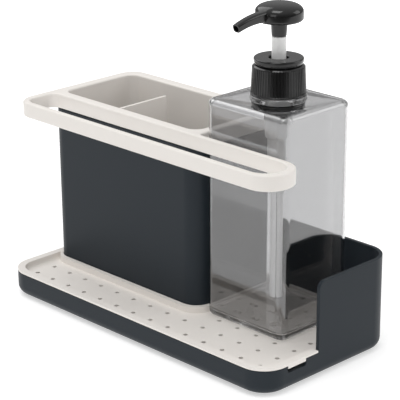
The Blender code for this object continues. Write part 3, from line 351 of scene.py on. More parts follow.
class Piece:
    """A visible piece in the making: an object whose place is in its mesh."""

    def __init__(self, name: str, shape: Shape) -> None:
        """Make the object.

        Args:
            name: Its name.
            shape: Its shape, which is used up.
        """
        mesh = bpy.data.meshes.new(name)
        shape.to_mesh(mesh)
        shape.free()
        self.item = placed(name, mesh)

    def settle(self) -> None:
        """Turn the modifiers into plain mesh."""
        bpy.context.view_layer.update()
        graph = bpy.context.evaluated_depsgraph_get()
        mesh = bpy.data.meshes.new_from_object(self.item.evaluated_get(graph))
        old = self.item.data
        name = old.name
        self.item.modifiers.clear()
        self.item.data = mesh
        bpy.data.meshes.remove(old)
        mesh.name = name

    def shape_with(self, tool: Shape, joining: Joining) -> Piece:
        """Cut or extend the piece with a closed tool.

        Args:
            tool: The tool's bmesh, which is used up.
            joining: Whether it cuts or joins.

        Returns:
            The piece itself.
        """
        helper = Piece("tool", tool)
        step = self.item.modifiers.new("shape", "BOOLEAN")
        step.operation = joining.value
        step.solver = "EXACT"
        step.object = helper.item
        self.settle()
        helper.remove()
        return self

    def cut(self, tool: Shape) -> Piece:
        """Cut the piece with a closed tool, which is used up, and return the piece."""
        return self.shape_with(tool, Joining.CUT)

    def join(self, part: Shape) -> Piece:
        """Join a closed part, which is used up, to the piece, and return the piece."""
        return self.shape_with(part, Joining.JOIN)

    def shape(self) -> Shape:
        """Copy the piece's shape.

        Returns:
            A bmesh of its own.
        """
        shape = bmesh.new()
        shape.from_mesh(self.item.data)
        return shape

    def take_shape(self, shape: Shape) -> Piece:
        """Give the piece another shape.

        Args:
            shape: The shape, which is used up.

        Returns:
            The piece itself.
        """
        shape.to_mesh(self.item.data)
        shape.free()
        return self

    def taken_apart(self) -> Shape:
        """Take the piece out of the scene.

        Returns:
            Its shape.
        """
        shape = self.shape()
        self.remove()
        return shape

    def take_in(self, part: Shape) -> Piece:
        """Add a closed part as it is.

        Args:
            part: The part, which is used up.

        Returns:
            The piece itself.
        """
        shape = self.shape()
        take_in(shape, part)
        return self.take_shape(shape)

    def remove(self) -> None:
        """Take the piece and its mesh out of the scene."""
        mesh = self.item.data
        bpy.data.objects.remove(self.item, do_unlink=True)
        bpy.data.meshes.remove(mesh)

    def soften(self, width: float, steps: int = 3, angle: float = 38.0) -> Piece:
        """Round the sharp edges.

        Args:
            width: Radius of the rounding.
            steps: Number of steps in it.
            angle: Edges sharper than this many degrees are rounded.

        Returns:
            The piece itself.
        """
        step = self.item.modifiers.new("soften", "BEVEL")
        step.width = width
        step.segments = steps
        step.limit_method = "ANGLE"
        step.angle_limit = math.radians(angle)
        step.miter_outer = "MITER_ARC"
        step.use_clamp_overlap = True
        self.settle()
        return self

    def soften_level(self, level: float, width: float, steps: int) -> Piece:
        """Round the sharp edges that lie at one height and bend outwards.

        Args:
            level: The height.
            width: Radius of the rounding.
            steps: Number of steps in it.

        Returns:
            The piece itself.
        """
        shape = self.shape()
        bmesh.ops.remove_doubles(shape, verts=list(shape.verts), dist=WELD)
        edges = [
            edge for edge in at_level(shape.edges, level, WELD * 10)
            if edge.is_manifold and edge.calc_face_angle_signed() > QUARTER / 2
        ]
        rounded(shape, edges, width, steps)
        return self.take_shape(shape)

    def smooth(self, angle: float = 40.0) -> Piece:
        """Shade the piece smoothly, with crisp edges kept and flat faces kept flat.

        Args:
            angle: Edges sharper than this many degrees stay crisp.

        Returns:
            The piece itself.
        """
        mesh = self.item.data
        mesh.polygons.foreach_set("use_smooth", [True] * len(mesh.polygons))
        mesh.set_sharp_from_angle(angle=math.radians(angle))
        weigh = self.item.modifiers.new("weigh", "WEIGHTED_NORMAL")
        weigh.mode = "FACE_AREA"
        weigh.weight = 100
        weigh.keep_sharp = True
        self.settle()
        return self

    def dress(self, finish: Finish, body: str, stands_for: str | None = None) -> Piece:
        """Give the piece its finish and fix it to a body.

        Args:
            finish: The finish to wear.
            body: The body that it moves with.
            stands_for: The model's node that it takes the place of.

        Returns:
            The piece itself.
        """
        self.item.data.materials.clear()
        self.item.data.materials.append(finish.material())
        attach(self.item, body)
        if stands_for is not None:
            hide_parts(stands_for)
        LOG.info("%s: %d faces on %s", self.item.name, len(self.item.data.polygons), body)
        return self


def dress_node(node: str, finish: Finish) -> None:
    """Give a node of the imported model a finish.

    Args:
        node: The node's name.
        finish: The finish to wear.
    """
    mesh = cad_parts[node].data
    mesh.materials.clear()
    mesh.materials.append(finish.material())
    LOG.info("%s: kept from the model", node)


# Finishes


def wired(
    tree: bpy.types.NodeTree, kind: str, given: dict[str | int, object], operation: str = ""
) -> bpy.types.Node:
    """Make a shader node and feed it.

    Args:
        tree: The nodes that it joins.
        kind: Its type, without the word that all types start with.
        given: What each input gets, a plain value or another node's socket.
        operation: Its operation, if it has one.

    Returns:
        The node.
    """
    node = tree.nodes.new("ShaderNode" + kind)
    if operation:
        node.operation = operation
    for name, value in given.items():
        if isinstance(value, bpy.types.NodeSocket):
            tree.links.new(value, node.inputs[name])
        else:
            node.inputs[name].default_value = value
    return node


def moulding_group() -> bpy.types.NodeTree:
    """Return the shared effect of moulded plastic, made once.

    It puts out a height for bumps, a roughness and a tint that vary over the surface: a fine spark
    grain, the slow waviness of a moulded wall, and faint clouding.

    Returns:
        The node group.
    """
    name = "moulding"
    if name in bpy.data.node_groups:
        return bpy.data.node_groups[name]
    tree = bpy.data.node_groups.new(name, "ShaderNodeTree")
    number, colour = "NodeSocketFloat", "NodeSocketColor"
    for label, kind in (
        ("Grain Scale", number), ("Grain Depth", number), ("Wave Scale", number),
        ("Wave Depth", number), ("Roughness", number), ("Roughness Spread", number),
        ("Tint", colour), ("Tint Spread", number),
    ):
        tree.interface.new_socket(label, in_out="INPUT", socket_type=kind)
    for label, kind in (("Height", number), ("Roughness", number), ("Tint", colour)):
        tree.interface.new_socket(label, in_out="OUTPUT", socket_type=kind)
    given = tree.nodes.new("NodeGroupInput").outputs
    result = tree.nodes.new("NodeGroupOutput").inputs
    place = tree.nodes.new("ShaderNodeTexCoord").outputs["Object"]

    def spread(noise: bpy.types.Node, factor: str) -> bpy.types.NodeSocket:
        """Return a noise less a half, times a factor that the group is given."""
        centred = wired(tree, "Math", {0: noise.outputs["Fac"], 1: 0.5}, "SUBTRACT")
        return wired(tree, "Math", {0: centred.outputs[0], 1: given[factor]}, "MULTIPLY").outputs[0]

    grain = wired(tree, "TexNoise", {"Vector": place, "Scale": given["Grain Scale"], "Detail": 2.0})
    wave = wired(tree, "TexNoise", {"Vector": place, "Scale": given["Wave Scale"], "Detail": 1.0})
    cloud = wired(
        tree, "TexNoise", {"Vector": place, "Scale": 55.0, "Detail": 5.0, "Roughness": 0.6}
    )
    height = wired(
        tree, "Math", {0: spread(grain, "Grain Depth"), 1: spread(wave, "Wave Depth")}, "ADD"
    )
    rough = wired(
        tree, "Math", {0: given["Roughness"], 1: spread(cloud, "Roughness Spread")}, "ADD"
    )
    rough.use_clamp = True
    shade = wired(tree, "Math", {0: spread(cloud, "Tint Spread"), 1: 1.0}, "ADD").outputs[0]
    tint = wired(tree, "VectorMath", {0: given["Tint"], "Scale": shade}, "SCALE")
    for label, node in (("Height", height), ("Roughness", rough), ("Tint", tint)):
        tree.links.new(node.outputs[0], result[label])
    return tree


@dataclass(frozen=True)
class Finish:
    """What every finish has: its name, a slot name and its colour."""

    name: str
    slot: str
    colour: tuple[float, float, float]
    roughness: float = 0.4
    roughness_spread: float = 0.06
    tint_spread: float = 0.05
    grain_scale: float = 2600.0
    grain_depth: float = 0.35
    wave_scale: float = 20.0
    wave_depth: float = 0.6
    bump: float = 0.25
    bump_distance: float = 0.0001
    sheen_level: float = 0.5

    def material(self) -> bpy.types.Material:
        """Make this finish on first use, and find it again later.

        Returns:
            The material.
        """
        if self.name in bpy.data.materials:
            return bpy.data.materials[self.name]
        material = bpy.data.materials.new(self.name)
        material.use_nodes = True
        material.diffuse_color = (*self.colour, 1.0)
        shader = material.node_tree.nodes["Principled BSDF"]
        self.surface(material.node_tree, shader)
        self.gloss(shader)
        self.layers(material.node_tree, shader)
        return material

    def surface(self, tree: bpy.types.NodeTree, shader: bpy.types.ShaderNode) -> None:
        """Drive colour, roughness and bumps from the shared effect.

        Args:
            tree: The material's nodes.
            shader: Its Principled BSDF.
        """
        effect = tree.nodes.new("ShaderNodeGroup")
        effect.node_tree = moulding_group()
        for name, value in (
            ("Grain Scale", self.grain_scale), ("Grain Depth", self.grain_depth),
            ("Wave Scale", self.wave_scale), ("Wave Depth", self.wave_depth),
            ("Roughness", self.roughness), ("Roughness Spread", self.roughness_spread),
            ("Tint", (*self.colour, 1.0)), ("Tint Spread", self.tint_spread),
        ):
            effect.inputs[name].default_value = value
        bump = wired(tree, "Bump", {
            "Strength": self.bump, "Distance": self.bump_distance,
            "Height": effect.outputs["Height"],
        })
        tree.links.new(effect.outputs["Tint"], shader.inputs["Base Color"])
        tree.links.new(effect.outputs["Roughness"], shader.inputs["Roughness"])
        tree.links.new(bump.outputs["Normal"], shader.inputs["Normal"])

    def gloss(self, shader: bpy.types.ShaderNode) -> None:
        """Set the shader's own plain values.

        Args:
            shader: The material's Principled BSDF.
        """
        shader.inputs["Metallic"].default_value = 0.0
        shader.inputs["IOR"].default_value = 1.5
        shader.inputs["Specular IOR Level"].default_value = self.sheen_level

    def layers(self, tree: bpy.types.NodeTree, shader: bpy.types.ShaderNode) -> None:
        """Add nothing: a plain finish has one layer."""


@dataclass(frozen=True)
class GlossPlastic(Finish):
    """Polished plastic with a clear skin over its colour."""

    coat: float = 0.5
    coat_roughness: float = 0.08

    def gloss(self, shader: bpy.types.ShaderNode) -> None:
        """Set the skin's weight and roughness.

        Args:
            shader: The material's Principled BSDF.
        """
        super().gloss(shader)
        shader.inputs["Coat Weight"].default_value = self.coat
        shader.inputs["Coat Roughness"].default_value = self.coat_roughness


@dataclass(frozen=True)
class BareMetal(Finish):
    """Bright metal wire and balls."""

    def gloss(self, shader: bpy.types.ShaderNode) -> None:
        """Set the shader to metal."""
        shader.inputs["Metallic"].default_value = 1.0


@dataclass(frozen=True)
class ClearPlastic(Finish):
    """Plastic that light goes through, clear or milky."""

    passing: float = 1.0
    index: float = 1.5
    shadow: tuple[float, float, float] = (0.8, 0.8, 0.8)
    spent: tuple[float, float, float] = (0.7, 0.7, 0.7)
    depth: float = 5.5
    skin: float = 0.0
    skin_index: float = 1.5

    def gloss(self, shader: bpy.types.ShaderNode) -> None:
        """Set how much light goes through, and how it bends.

        Args:
            shader: The material's Principled BSDF.
        """
        for name, value in (
            ("Metallic", 0.0), ("IOR", self.index), ("Transmission Weight", self.passing),
            ("Coat Weight", self.skin), ("Coat Roughness", self.roughness),
            ("Coat IOR", self.skin_index),
        ):
            shader.inputs[name].default_value = value

    def layers(self, tree: bpy.types.NodeTree, shader: bpy.types.ShaderNode) -> None:
        """Let some rays pass straight through, each with its own tint.

        Those are shadow rays, so that what stands behind the wall is lit, and rays that have met
        so many walls that they are spent.

        Args:
            tree: The material's nodes.
            shader: Its Principled BSDF.
        """
        path = tree.nodes.new("ShaderNodeLightPath").outputs
        spent = wired(tree, "Math", {0: path["Ray Depth"], 1: self.depth}, "GREATER_THAN")
        surface = shader.outputs["BSDF"]
        for factor, colour in (
            (spent.outputs[0], self.spent), (path["Is Shadow Ray"], self.shadow)
        ):
            clear = wired(tree, "BsdfTransparent", {"Color": (*colour, 1.0)}).outputs["BSDF"]
            surface = wired(tree, "MixShader", {"Fac": factor, 1: surface, 2: clear}).outputs[0]
        tree.links.new(surface, tree.nodes["Material Output"].inputs["Surface"])


SLATE = Finish("slate_plastic_finish", "slate_plastic", (0.020, 0.026, 0.0325), roughness=0.42,
               grain_depth=0.6, bump=0.35, sheen_level=0.17)
STONE = Finish("stone_plastic_finish", "stone_plastic", (0.845, 0.806, 0.763), roughness=0.38,
               tint_spread=0.03, grain_depth=0.4, bump=0.3, sheen_level=0.45)
SMOKE = ClearPlastic("smoke_clear_finish", "smoke_clear_plastic", (0.63, 0.63, 0.635),
                     roughness=0.02, roughness_spread=0.01, tint_spread=0.02, grain_depth=0.0,
                     wave_scale=30.0, wave_depth=0.8, bump=0.06, index=1.54,
                     shadow=(0.95, 0.95, 0.95), skin=1.0)
BLACK = GlossPlastic("black_gloss_finish", "black_gloss_plastic", (0.006, 0.006, 0.006),
                     roughness=0.2, grain_depth=0.1, bump=0.08, coat=0.9,
                     coat_roughness=0.12, sheen_level=0.05)
WHITE = GlossPlastic("white_gloss_finish", "white_plastic", (0.96, 0.96, 0.95), roughness=0.3,
                     tint_spread=0.02, grain_depth=0.1, bump=0.1, coat=0.2)
MILKY = ClearPlastic("milky_clear_finish", "white_plastic", (0.95, 0.95, 0.95), roughness=0.3,
                     grain_depth=0.2, bump=0.15, passing=0.45)
TUBING = ClearPlastic("tubing_finish", "white_plastic", (0.97, 0.97, 0.97), roughness=0.35,
                      grain_depth=0.2, bump=0.15, passing=0.0, shadow=(0.7, 0.7, 0.7))
RUBBER = Finish("grey_rubber_finish", "grey_rubber", (0.09, 0.09, 0.09), roughness=0.8,
                grain_depth=0.8, bump=0.5)
STEEL = BareMetal("spring_steel_finish", "spring_steel", (0.62, 0.62, 0.63), roughness=0.25,
                  grain_depth=0.2, bump=0.1)


# Sub-assemblies


@dataclass(frozen=True)
class Layout:
    """Places that more than one sub-assembly keeps to."""

    left: float = -0.1125
    right: float = 0.1125
    front: float = -0.05425
    back: float = 0.05425
    corner: float = 0.016
    rim_top: float = 0.0159
    wall_front: float = -0.01005
    wall_left: float = 0.0225
    notch_start: float = -0.03545
    notch_end: float = -0.02025
    gap: float = 0.0003
    wall: float = 0.0023
    holder_left: float = -0.1083
    holder_right: float = 0.0205
    holder_front: float = -0.01655
    holder_back: float = 0.05005
    holder_corner: float = 0.0105
    tray_floor: float = 0.0136
    pump_x: float = 0.0553
    pump_y: float = 0.01585

    @property
    def axis(self) -> Vector:
        """A point on the pump's axis."""
        return Vector((self.pump_x, self.pump_y, 0.0))

    def base(self, inset: float = 0.0) -> list[Corner]:
        """Return the base's outline, drawn in by the inset."""
        return rectangle(
            self.left + inset, self.right - inset, self.front + inset, self.back - inset,
            [self.corner - inset] * 4,
        )

    def holder(self, inset: float, steps: int = 14) -> list[Corner]:
        """Return the outline of the holder's foot, drawn in by the inset."""
        return rectangle(
            self.holder_left + inset, self.holder_right - inset, self.holder_front + inset,
            self.holder_back - inset, [self.holder_corner - inset] * 4, steps,
        )

    @property
    def holder_middle(self) -> tuple[float, float]:
        """The middle of the holder's plan."""
        left, right = self.holder_left, self.holder_right
        return (left + right) / 2, (self.holder_front + self.holder_back) / 2


@dataclass
class Base:
    """The dark base tray with its raised corner wall, and the feet under it."""

    layout: Layout
    bottom: float = 0.0008
    floor: float = 0.0032
    wall_top: float = 0.0588
    heel: float = 0.006
    inner_heel: float = 0.0035
    front_corner: float = 0.0045
    left_corner: float = 0.008
    notch_depth: float = 0.004
    notch_corner: float = 0.0015
    edge: float = 0.0006
    foot_radius: float = 0.0065
    foot_x: float = 0.0935
    foot_y: float = 0.03525
    seat_top: float = 0.0018

    def step_tool(self, edge: float, end: float, corner: float) -> list[Corner]:
        """Return the outline of what is cut away beside the raised wall.

        Args:
            edge: Where the wall's edge comes down.
            end: Where the cut ends, past the tray's side.
            corner: Radius of the wall's upper corner.

        Returns:
            The outline's corners.
        """
        top = self.wall_top
        return traced(
            (edge, self.layout.rim_top), (edge, top, corner), (edge + corner, top),
            (edge + corner, top + OVERRUN), (end, top + OVERRUN), (end, self.layout.rim_top),
        )

    def shell(self) -> Piece:
        """Make the tray with its hollow.

        Returns:
            The tray, with walls of one height.
        """
        place = self.layout
        body = raised(place.base(), self.bottom, self.wall_top)
        soften_rim(body, Rim.LOWER, self.heel, steps=8)
        hollow = raised(place.base(place.wall), self.floor, self.wall_top + OVERRUN)
        soften_rim(hollow, Rim.LOWER, self.inner_heel, steps=6)
        return Piece("base_tray_shell", body).cut(hollow)

    def build(self) -> None:
        """Make the tray and dress it and its feet."""
        place = self.layout
        piece = self.shell()
        reach = OVERRUN
        front_tool = self.step_tool(place.wall_front, place.front - reach, self.front_corner)
        piece.cut(laid_along_x(raised(front_tool, place.left - reach, place.right + reach)))
        left_tool = self.step_tool(place.wall_left, place.left - reach, self.left_corner)
        piece.cut(laid_along_y(raised(left_tool, place.front - reach, place.back + reach)))
        notch = rectangle(
            place.notch_start, place.notch_end, place.rim_top - self.notch_depth,
            place.rim_top + self.notch_depth, [self.notch_corner] * 4, steps=6,
        )
        inside = place.right - place.wall - reach
        piece.cut(laid_along_x(raised(notch, inside, place.right + reach)))
        seats = [(x * self.foot_x, y * self.foot_y) for x in (-1, 1) for y in (-1, 1)]
        piece.cut(drills(seats, self.foot_radius + place.gap, -reach, self.seat_top, steps=48))
        piece.soften(self.edge).smooth()
        piece.dress(SLATE, "base", "base_tray")
        for node in ("foot_front_left", "foot_front_right", "foot_back_left", "foot_back_right"):
            dress_node(node, RUBBER)


@dataclass
class DripTray:
    """The light perforated tray that hangs in the base by its rim."""

    layout: Layout
    rim_bottom: float = 0.0162
    rim_top: float = 0.0174
    rim_width: float = 0.0048
    bottom: float = 0.012
    wall: float = 0.0012
    fillet: float = 0.0014
    collar: float = 0.003
    clearance: float = 0.0004
    collar_corner: float = 0.0134
    lug_drop: float = 0.0018
    lug_gap: float = 0.0004
    lap: float = 0.0003
    hole: float = 0.0014
    columns: int = 14
    rows: int = 7
    column_pitch: float = 0.015
    row_pitch: float = 0.014
    margin: float = 0.0012
    edge: float = 0.0004

    def rim(self) -> list[Corner]:
        """Draw the rim in where the raised wall stands.

        Returns:
            The outline's corners.
        """
        place = self.layout
        inset = place.wall + place.gap
        right, back = place.right - inset, place.back - inset
        return traced(
            (place.left, place.front, place.corner), (place.right, place.front, place.corner),
            (place.right, place.wall_front - place.gap), (right, place.wall_front - place.gap),
            (right, back, place.corner - inset), (place.wall_left - place.gap, back),
            (place.wall_left - place.gap, place.back), (place.left, place.back, place.corner),
        )

    def holes(self) -> list[tuple[float, float]]:
        """Place the drain holes, thinned out under the holder and left out round its foot.

        Returns:
            The place of each hole.
        """
        place = self.layout
        reach = self.clearance + self.collar + self.hole + self.margin
        right, front = place.holder_right + reach, place.holder_front - reach
        corner = place.holder_corner
        found = []
        for row in range(self.rows):
            y = (row - (self.rows - 1) / 2) * self.row_pitch
            for column in range(self.columns):
                x = (column - (self.columns - 1) / 2) * self.column_pitch
                under = (
                    place.holder_left + corner < x < place.holder_right - corner
                    and place.holder_front + corner < y < place.holder_back - corner
                )
                if x > right or y < front or (under and column % 2 == 0):
                    found.append((x, y))
        return found

    def build(self) -> None:
        """Make the tray and dress it."""
        place = self.layout
        top = self.rim_top
        inside = top - self.lap
        piece = Piece("drip_tray_moulding", raised(self.rim(), self.rim_bottom, top))
        pan = raised(place.base(self.rim_width - self.wall), self.bottom, inside)
        soften_rim(pan, Rim.LOWER, self.fillet / 2, steps=3)
        piece.join(pan)
        lug = rectangle(
            place.right - self.rim_width, place.right, place.notch_start + self.lug_gap,
            place.notch_end - self.lug_gap, [0.0] * 4
        )
        piece.join(raised(lug, self.rim_bottom - self.lug_drop, inside))
        space = raised(place.base(self.rim_width), place.tray_floor, top + OVERRUN)
        soften_rim(space, Rim.LOWER, self.fillet, steps=5)
        inset = place.wall + place.gap
        reach = self.clearance + self.collar
        collar = rectangle(
            place.left + inset, place.holder_right + reach, place.holder_front - reach,
            place.back - inset, [self.collar_corner] * 4,
        )
        kept = raised(collar, place.tray_floor - OVERRUN, top + 2 * OVERRUN)
        piece.cut(Piece("pan_space", space).cut(kept).taken_apart())
        piece.cut(raised(place.holder(-self.clearance), place.tray_floor, top + OVERRUN))
        low, high = self.bottom - OVERRUN, top + OVERRUN
        piece.cut(drills(self.holes(), self.hole, low, high, steps=24))
        piece.soften(self.edge, angle=50.0).smooth()
        piece.dress(STONE, "tray", "drip_tray")


@dataclass
class Holder:
    """The dark utensil holder."""

    layout: Layout
    bottom: float = 0.0139
    top: float = 0.1164
    wall: float = 0.002
    floor: float = 0.0024
    lean: float = 0.0005
    foot_edge: float = 0.0008
    drain: float = 0.003
    drain_pitch: float = 0.028
    edge: float = 0.0006

    def bin_shape(self, inset: float, bottom: float, top: float, foot: float) -> Shape:
        """Return the bin's outer or inner form.

        Args:
            inset: How far it is drawn in from the foot's outline.
            bottom: Its lower height.
            top: Its upper height.
            foot: Rounding of its lower rim.

        Returns:
            A closed bmesh with leaning sides.
        """
        place = self.layout
        shape = raised(place.holder(inset, 16), bottom, top)
        soften_rim(shape, Rim.LOWER, foot, steps=4)
        centre = Vector((*place.holder_middle, 0.0))
        half = Vector((place.holder_right - centre.x, place.holder_back - centre.y, 0.0))
        leaned(shape, centre, self.top, half, self.lean)
        return shape

    def build(self) -> None:
        """Make the bin and dress it."""
        piece = Piece("utensil_bin", self.bin_shape(0.0, self.bottom, self.top, self.foot_edge))
        floor = self.bottom + self.floor
        piece.cut(self.bin_shape(self.wall, floor, self.top + OVERRUN, self.wall))
        middle_x, middle_y = self.layout.holder_middle
        places = [
            (middle_x + x * self.drain_pitch, middle_y + y * self.drain_pitch)
            for x in (-1.5, -0.5, 0.5, 1.5) for y in (-0.5, 0.5)
        ]
        low, high = self.bottom - OVERRUN, floor + OVERRUN
        piece.cut(drills(places, self.drain, low, high, steps=40))
        piece.soften(self.edge, angle=50.0).smooth()
        piece.dress(SLATE, "holder", "utensil_holder")


@dataclass
class Insert:
    """The light insert with its cloth rail, skirt and divider."""

    top: float = 0.1261
    thickness: float = 0.0094
    left: float = -0.1094
    right: float = 0.0216
    back: float = 0.05385
    land_front: float = -0.01785
    rail_front: float = -0.04515
    rail_back: float = -0.01425
    rail_right: float = 0.1058
    rail_bar: float = 0.0044
    end_bar: float = 0.0059
    corner: float = 0.0115
    rail_corner: float = 0.0125
    step_corner: float = 0.003
    slot_back_corner: float = 0.006
    opening_left: float = -0.1029
    opening_right: float = 0.0151
    opening_front: float = -0.01085
    opening_back: float = 0.04655
    opening_corner: float = 0.007
    skirt: float = 0.0015
    skirt_depth: float = 0.038
    divider_x: float = -0.0525
    divider: float = 0.0016
    divider_reach: float = 0.04
    divider_drop: float = 0.001
    divider_corner: float = 0.8
    divider_edge: float = 0.6
    edge: float = 0.0013

    def outline(self) -> list[Corner]:
        """Return the outer outline of the rim and the rail."""
        end = (self.rail_back - self.rail_front) / 2 * NEARLY
        return traced(
            (self.left, self.rail_front, self.rail_corner),
            (self.rail_right, self.rail_front, end, 24),
            (self.rail_right, self.rail_back, end, 24),
            (self.right, self.rail_back, self.step_corner, 8),
            (self.right, self.back, self.corner), (self.left, self.back, self.corner),
        )

    def slot(self) -> list[Corner]:
        """Draw the cloth rail's slot.

        Returns:
            The outline's corners.
        """
        front = self.rail_front + self.rail_bar
        end = (self.land_front - front) / 2 * NEARLY
        right = self.rail_right - self.end_bar
        return traced(
            (self.left + self.rail_bar, front, self.rail_corner - self.rail_bar),
            (right, front, end, 20), (right, self.land_front, end, 20),
            (self.left + self.rail_bar, self.land_front, self.slot_back_corner),
        )

    def opening(self, spread: float) -> list[Corner]:
        """Return the outline of the compartments' opening, widened by the spread."""
        return rectangle(
            self.opening_left - spread, self.opening_right + spread,
            self.opening_front - spread, self.opening_back + spread,
            [self.opening_corner + spread] * 4,
        )

    def build(self) -> None:
        """Make the insert and dress it."""
        bottom = self.top - self.thickness
        low = bottom - self.skirt_depth
        above = self.top + OVERRUN
        piece = Piece("divided_insert", raised(self.outline(), bottom, self.top))
        piece.cut(raised(self.slot(), bottom - OVERRUN, above))
        skirt = raised(self.opening(self.skirt), low, self.top - self.thickness / 2)
        piece.join(skirt)
        piece.cut(raised(self.opening(0.0), low - OVERRUN, above))
        piece.soften_level(self.top, self.edge, steps=5)
        piece.soften_level(bottom, self.edge, steps=5)
        piece.soften_level(low, self.skirt / 3, steps=3)
        half = self.divider / 2
        plate = raised(
            rectangle(
                self.divider_x - half, self.divider_x + half,
                self.opening_front - self.skirt / 2, self.opening_front + self.divider_reach,
                [0.0, 0.0] + [half * self.divider_corner] * 2, steps=5,
            ),
            low, self.top - self.divider_drop,
        )
        soften_rim(plate, Rim.UPPER, half * self.divider_edge, steps=3)
        piece.take_in(plate).smooth()
        piece.dress(STONE, "insert", "holder_insert")


@dataclass
class Bottle:
    """The smoke-grey bottle and the ring round the foot of its neck."""

    layout: Layout
    length: float = 0.0625
    depth: float = 0.057
    bottom: float = 0.0139
    top: float = 0.1479
    corner: float = 0.006
    top_edge: float = 0.003
    foot_edge: float = 0.0032
    wall: float = 0.0013
    floor: float = 0.0172
    inner_fillet: float = 0.0025
    dish: float = 0.0039
    shoulder: float = 0.0158
    neck_foot: float = 0.0136
    bead_bottom: float = 0.1476
    bead_top: float = 0.1512
    bead: float = 0.0166
    neck: float = 0.0122
    neck_top: float = 0.1615
    bore: float = 0.0106
    bead_edge: float = 0.0012
    fillet: float = 0.0008
    ring: float = 0.0155
    ring_height: float = 0.003
    ring_edge: float = 0.0009
    side_cuts: int = 8
    corner_steps: int = 8
    longest_step: float = 0.01

    def box(
        self, inset: float, bottom: float, top: float, top_edge: float, foot_edge: float
    ) -> Shape:
        """Return the square body's outer or inner form, open at the top.

        Args:
            inset: How far it is drawn in.
            bottom: Its lower height.
            top: Its upper height.
            top_edge: Rounding of the upper rim.
            foot_edge: Rounding of the lower rim.

        Returns:
            A bmesh whose upper face is left out.
        """
        x, y = self.layout.pump_x, self.layout.pump_y
        half_x, half_y = self.length / 2 - inset, self.depth / 2 - inset
        corner = max(self.corner - inset, self.corner / 3)
        corners = rectangle(
            x - half_x, x + half_x, y - half_y, y + half_y, [corner] * 4, self.corner_steps
        )
        shape = raised(corners, bottom, top)
        soften_rim(shape, Rim.LOWER, foot_edge, steps=6)
        soften_rim(shape, Rim.UPPER, top_edge, steps=6)
        level = max(point.co.z for point in shape.verts)
        bmesh.ops.delete(shape, geom=at_level(shape.faces, level), context="FACES_ONLY")
        sides = [
            edge for edge in shape.edges
            if edge.is_boundary and edge.calc_length() > self.longest_step
        ]
        bmesh.ops.subdivide_edges(shape, edges=sides, cuts=self.side_cuts)
        return shape

    def neck_shape(self, steps: int) -> Shape:
        """Return the neck with its bead and bore, open where it meets the body.

        Args:
            steps: Number of steps round it.

        Returns:
            An open bmesh.
        """
        shape = bmesh.new()
        foot, edge = self.top - self.dish, self.bead_edge
        section = traced(
            (self.shoulder, foot), (self.neck_foot, foot, self.fillet, 4),
            (self.neck_foot, self.bead_bottom), (self.bead, self.bead_bottom, edge, 6),
            (self.bead, self.bead_top, edge, 6), (self.neck, self.bead_top),
            (self.neck, self.neck_top), (self.bore, self.neck_top), (self.bore, foot - self.wall),
        )
        rounded_face(shape, section)
        bmesh.ops.delete(shape, geom=list(shape.faces), context="FACES_ONLY")
        closing = [
            line for line in shape.edges
            if {round(point.co.x / WELD) for point in line.verts}
            == {round(self.shoulder / WELD), round(self.bore / WELD)}
        ]
        bmesh.ops.delete(shape, geom=closing, context="EDGES")
        bmesh.ops.transform(shape, matrix=Matrix.Rotation(QUARTER, 4, "X"), verts=list(shape.verts))
        start = QUARTER / 2 - self.corner_steps / 2 * WHOLE / steps
        bmesh.ops.rotate(
            shape, verts=list(shape.verts), cent=(0, 0, 0), matrix=Matrix.Rotation(start, 3, "Z")
        )
        spun(shape, steps)
        return moved_to(shape, self.layout.axis)

    def body(self) -> Shape:
        """Make the whole bottle as one closed wall.

        Returns:
            A closed bmesh.
        """
        count = 4 * (self.corner_steps + 1 + self.side_cuts)
        shape = self.box(0.0, self.bottom, self.top, self.top_edge, self.foot_edge)
        inner_top = self.top - self.wall
        fillet = self.inner_fillet
        take_in(shape, self.box(self.wall, self.floor, inner_top, fillet, fillet))
        take_in(shape, self.neck_shape(count))
        foot = self.top - self.dish
        for square, ring in ((self.top, foot), (inner_top, foot - self.wall)):
            rims = [
                line for line in shape.edges
                if line.is_boundary and all(
                    min(abs(point.co.z - square), abs(point.co.z - ring)) < WELD
                    for point in line.verts
                )
            ]
            bmesh.ops.bridge_loops(shape, edges=rims)
        return closed(shape)

    def build(self) -> None:
        """Make the bottle and its neck ring and dress them."""
        piece = Piece("smoke_bottle", self.body()).smooth(angle=50.0)
        piece.dress(SMOKE, "soap_bottle", "bottle")
        foot = self.top - self.dish + self.layout.gap
        inner, edge, top = self.neck_foot + self.layout.gap, self.ring_edge, foot + self.ring_height
        ring = turned(
            traced(
                (inner, foot), (self.ring, foot, edge, 5), (self.ring, top, edge, 5), (inner, top),
            ),
            self.layout.axis, steps=96,
        )
        Piece("bottle_neck_ring", ring).smooth().dress(BLACK, "soap_bottle", "neck_ring")


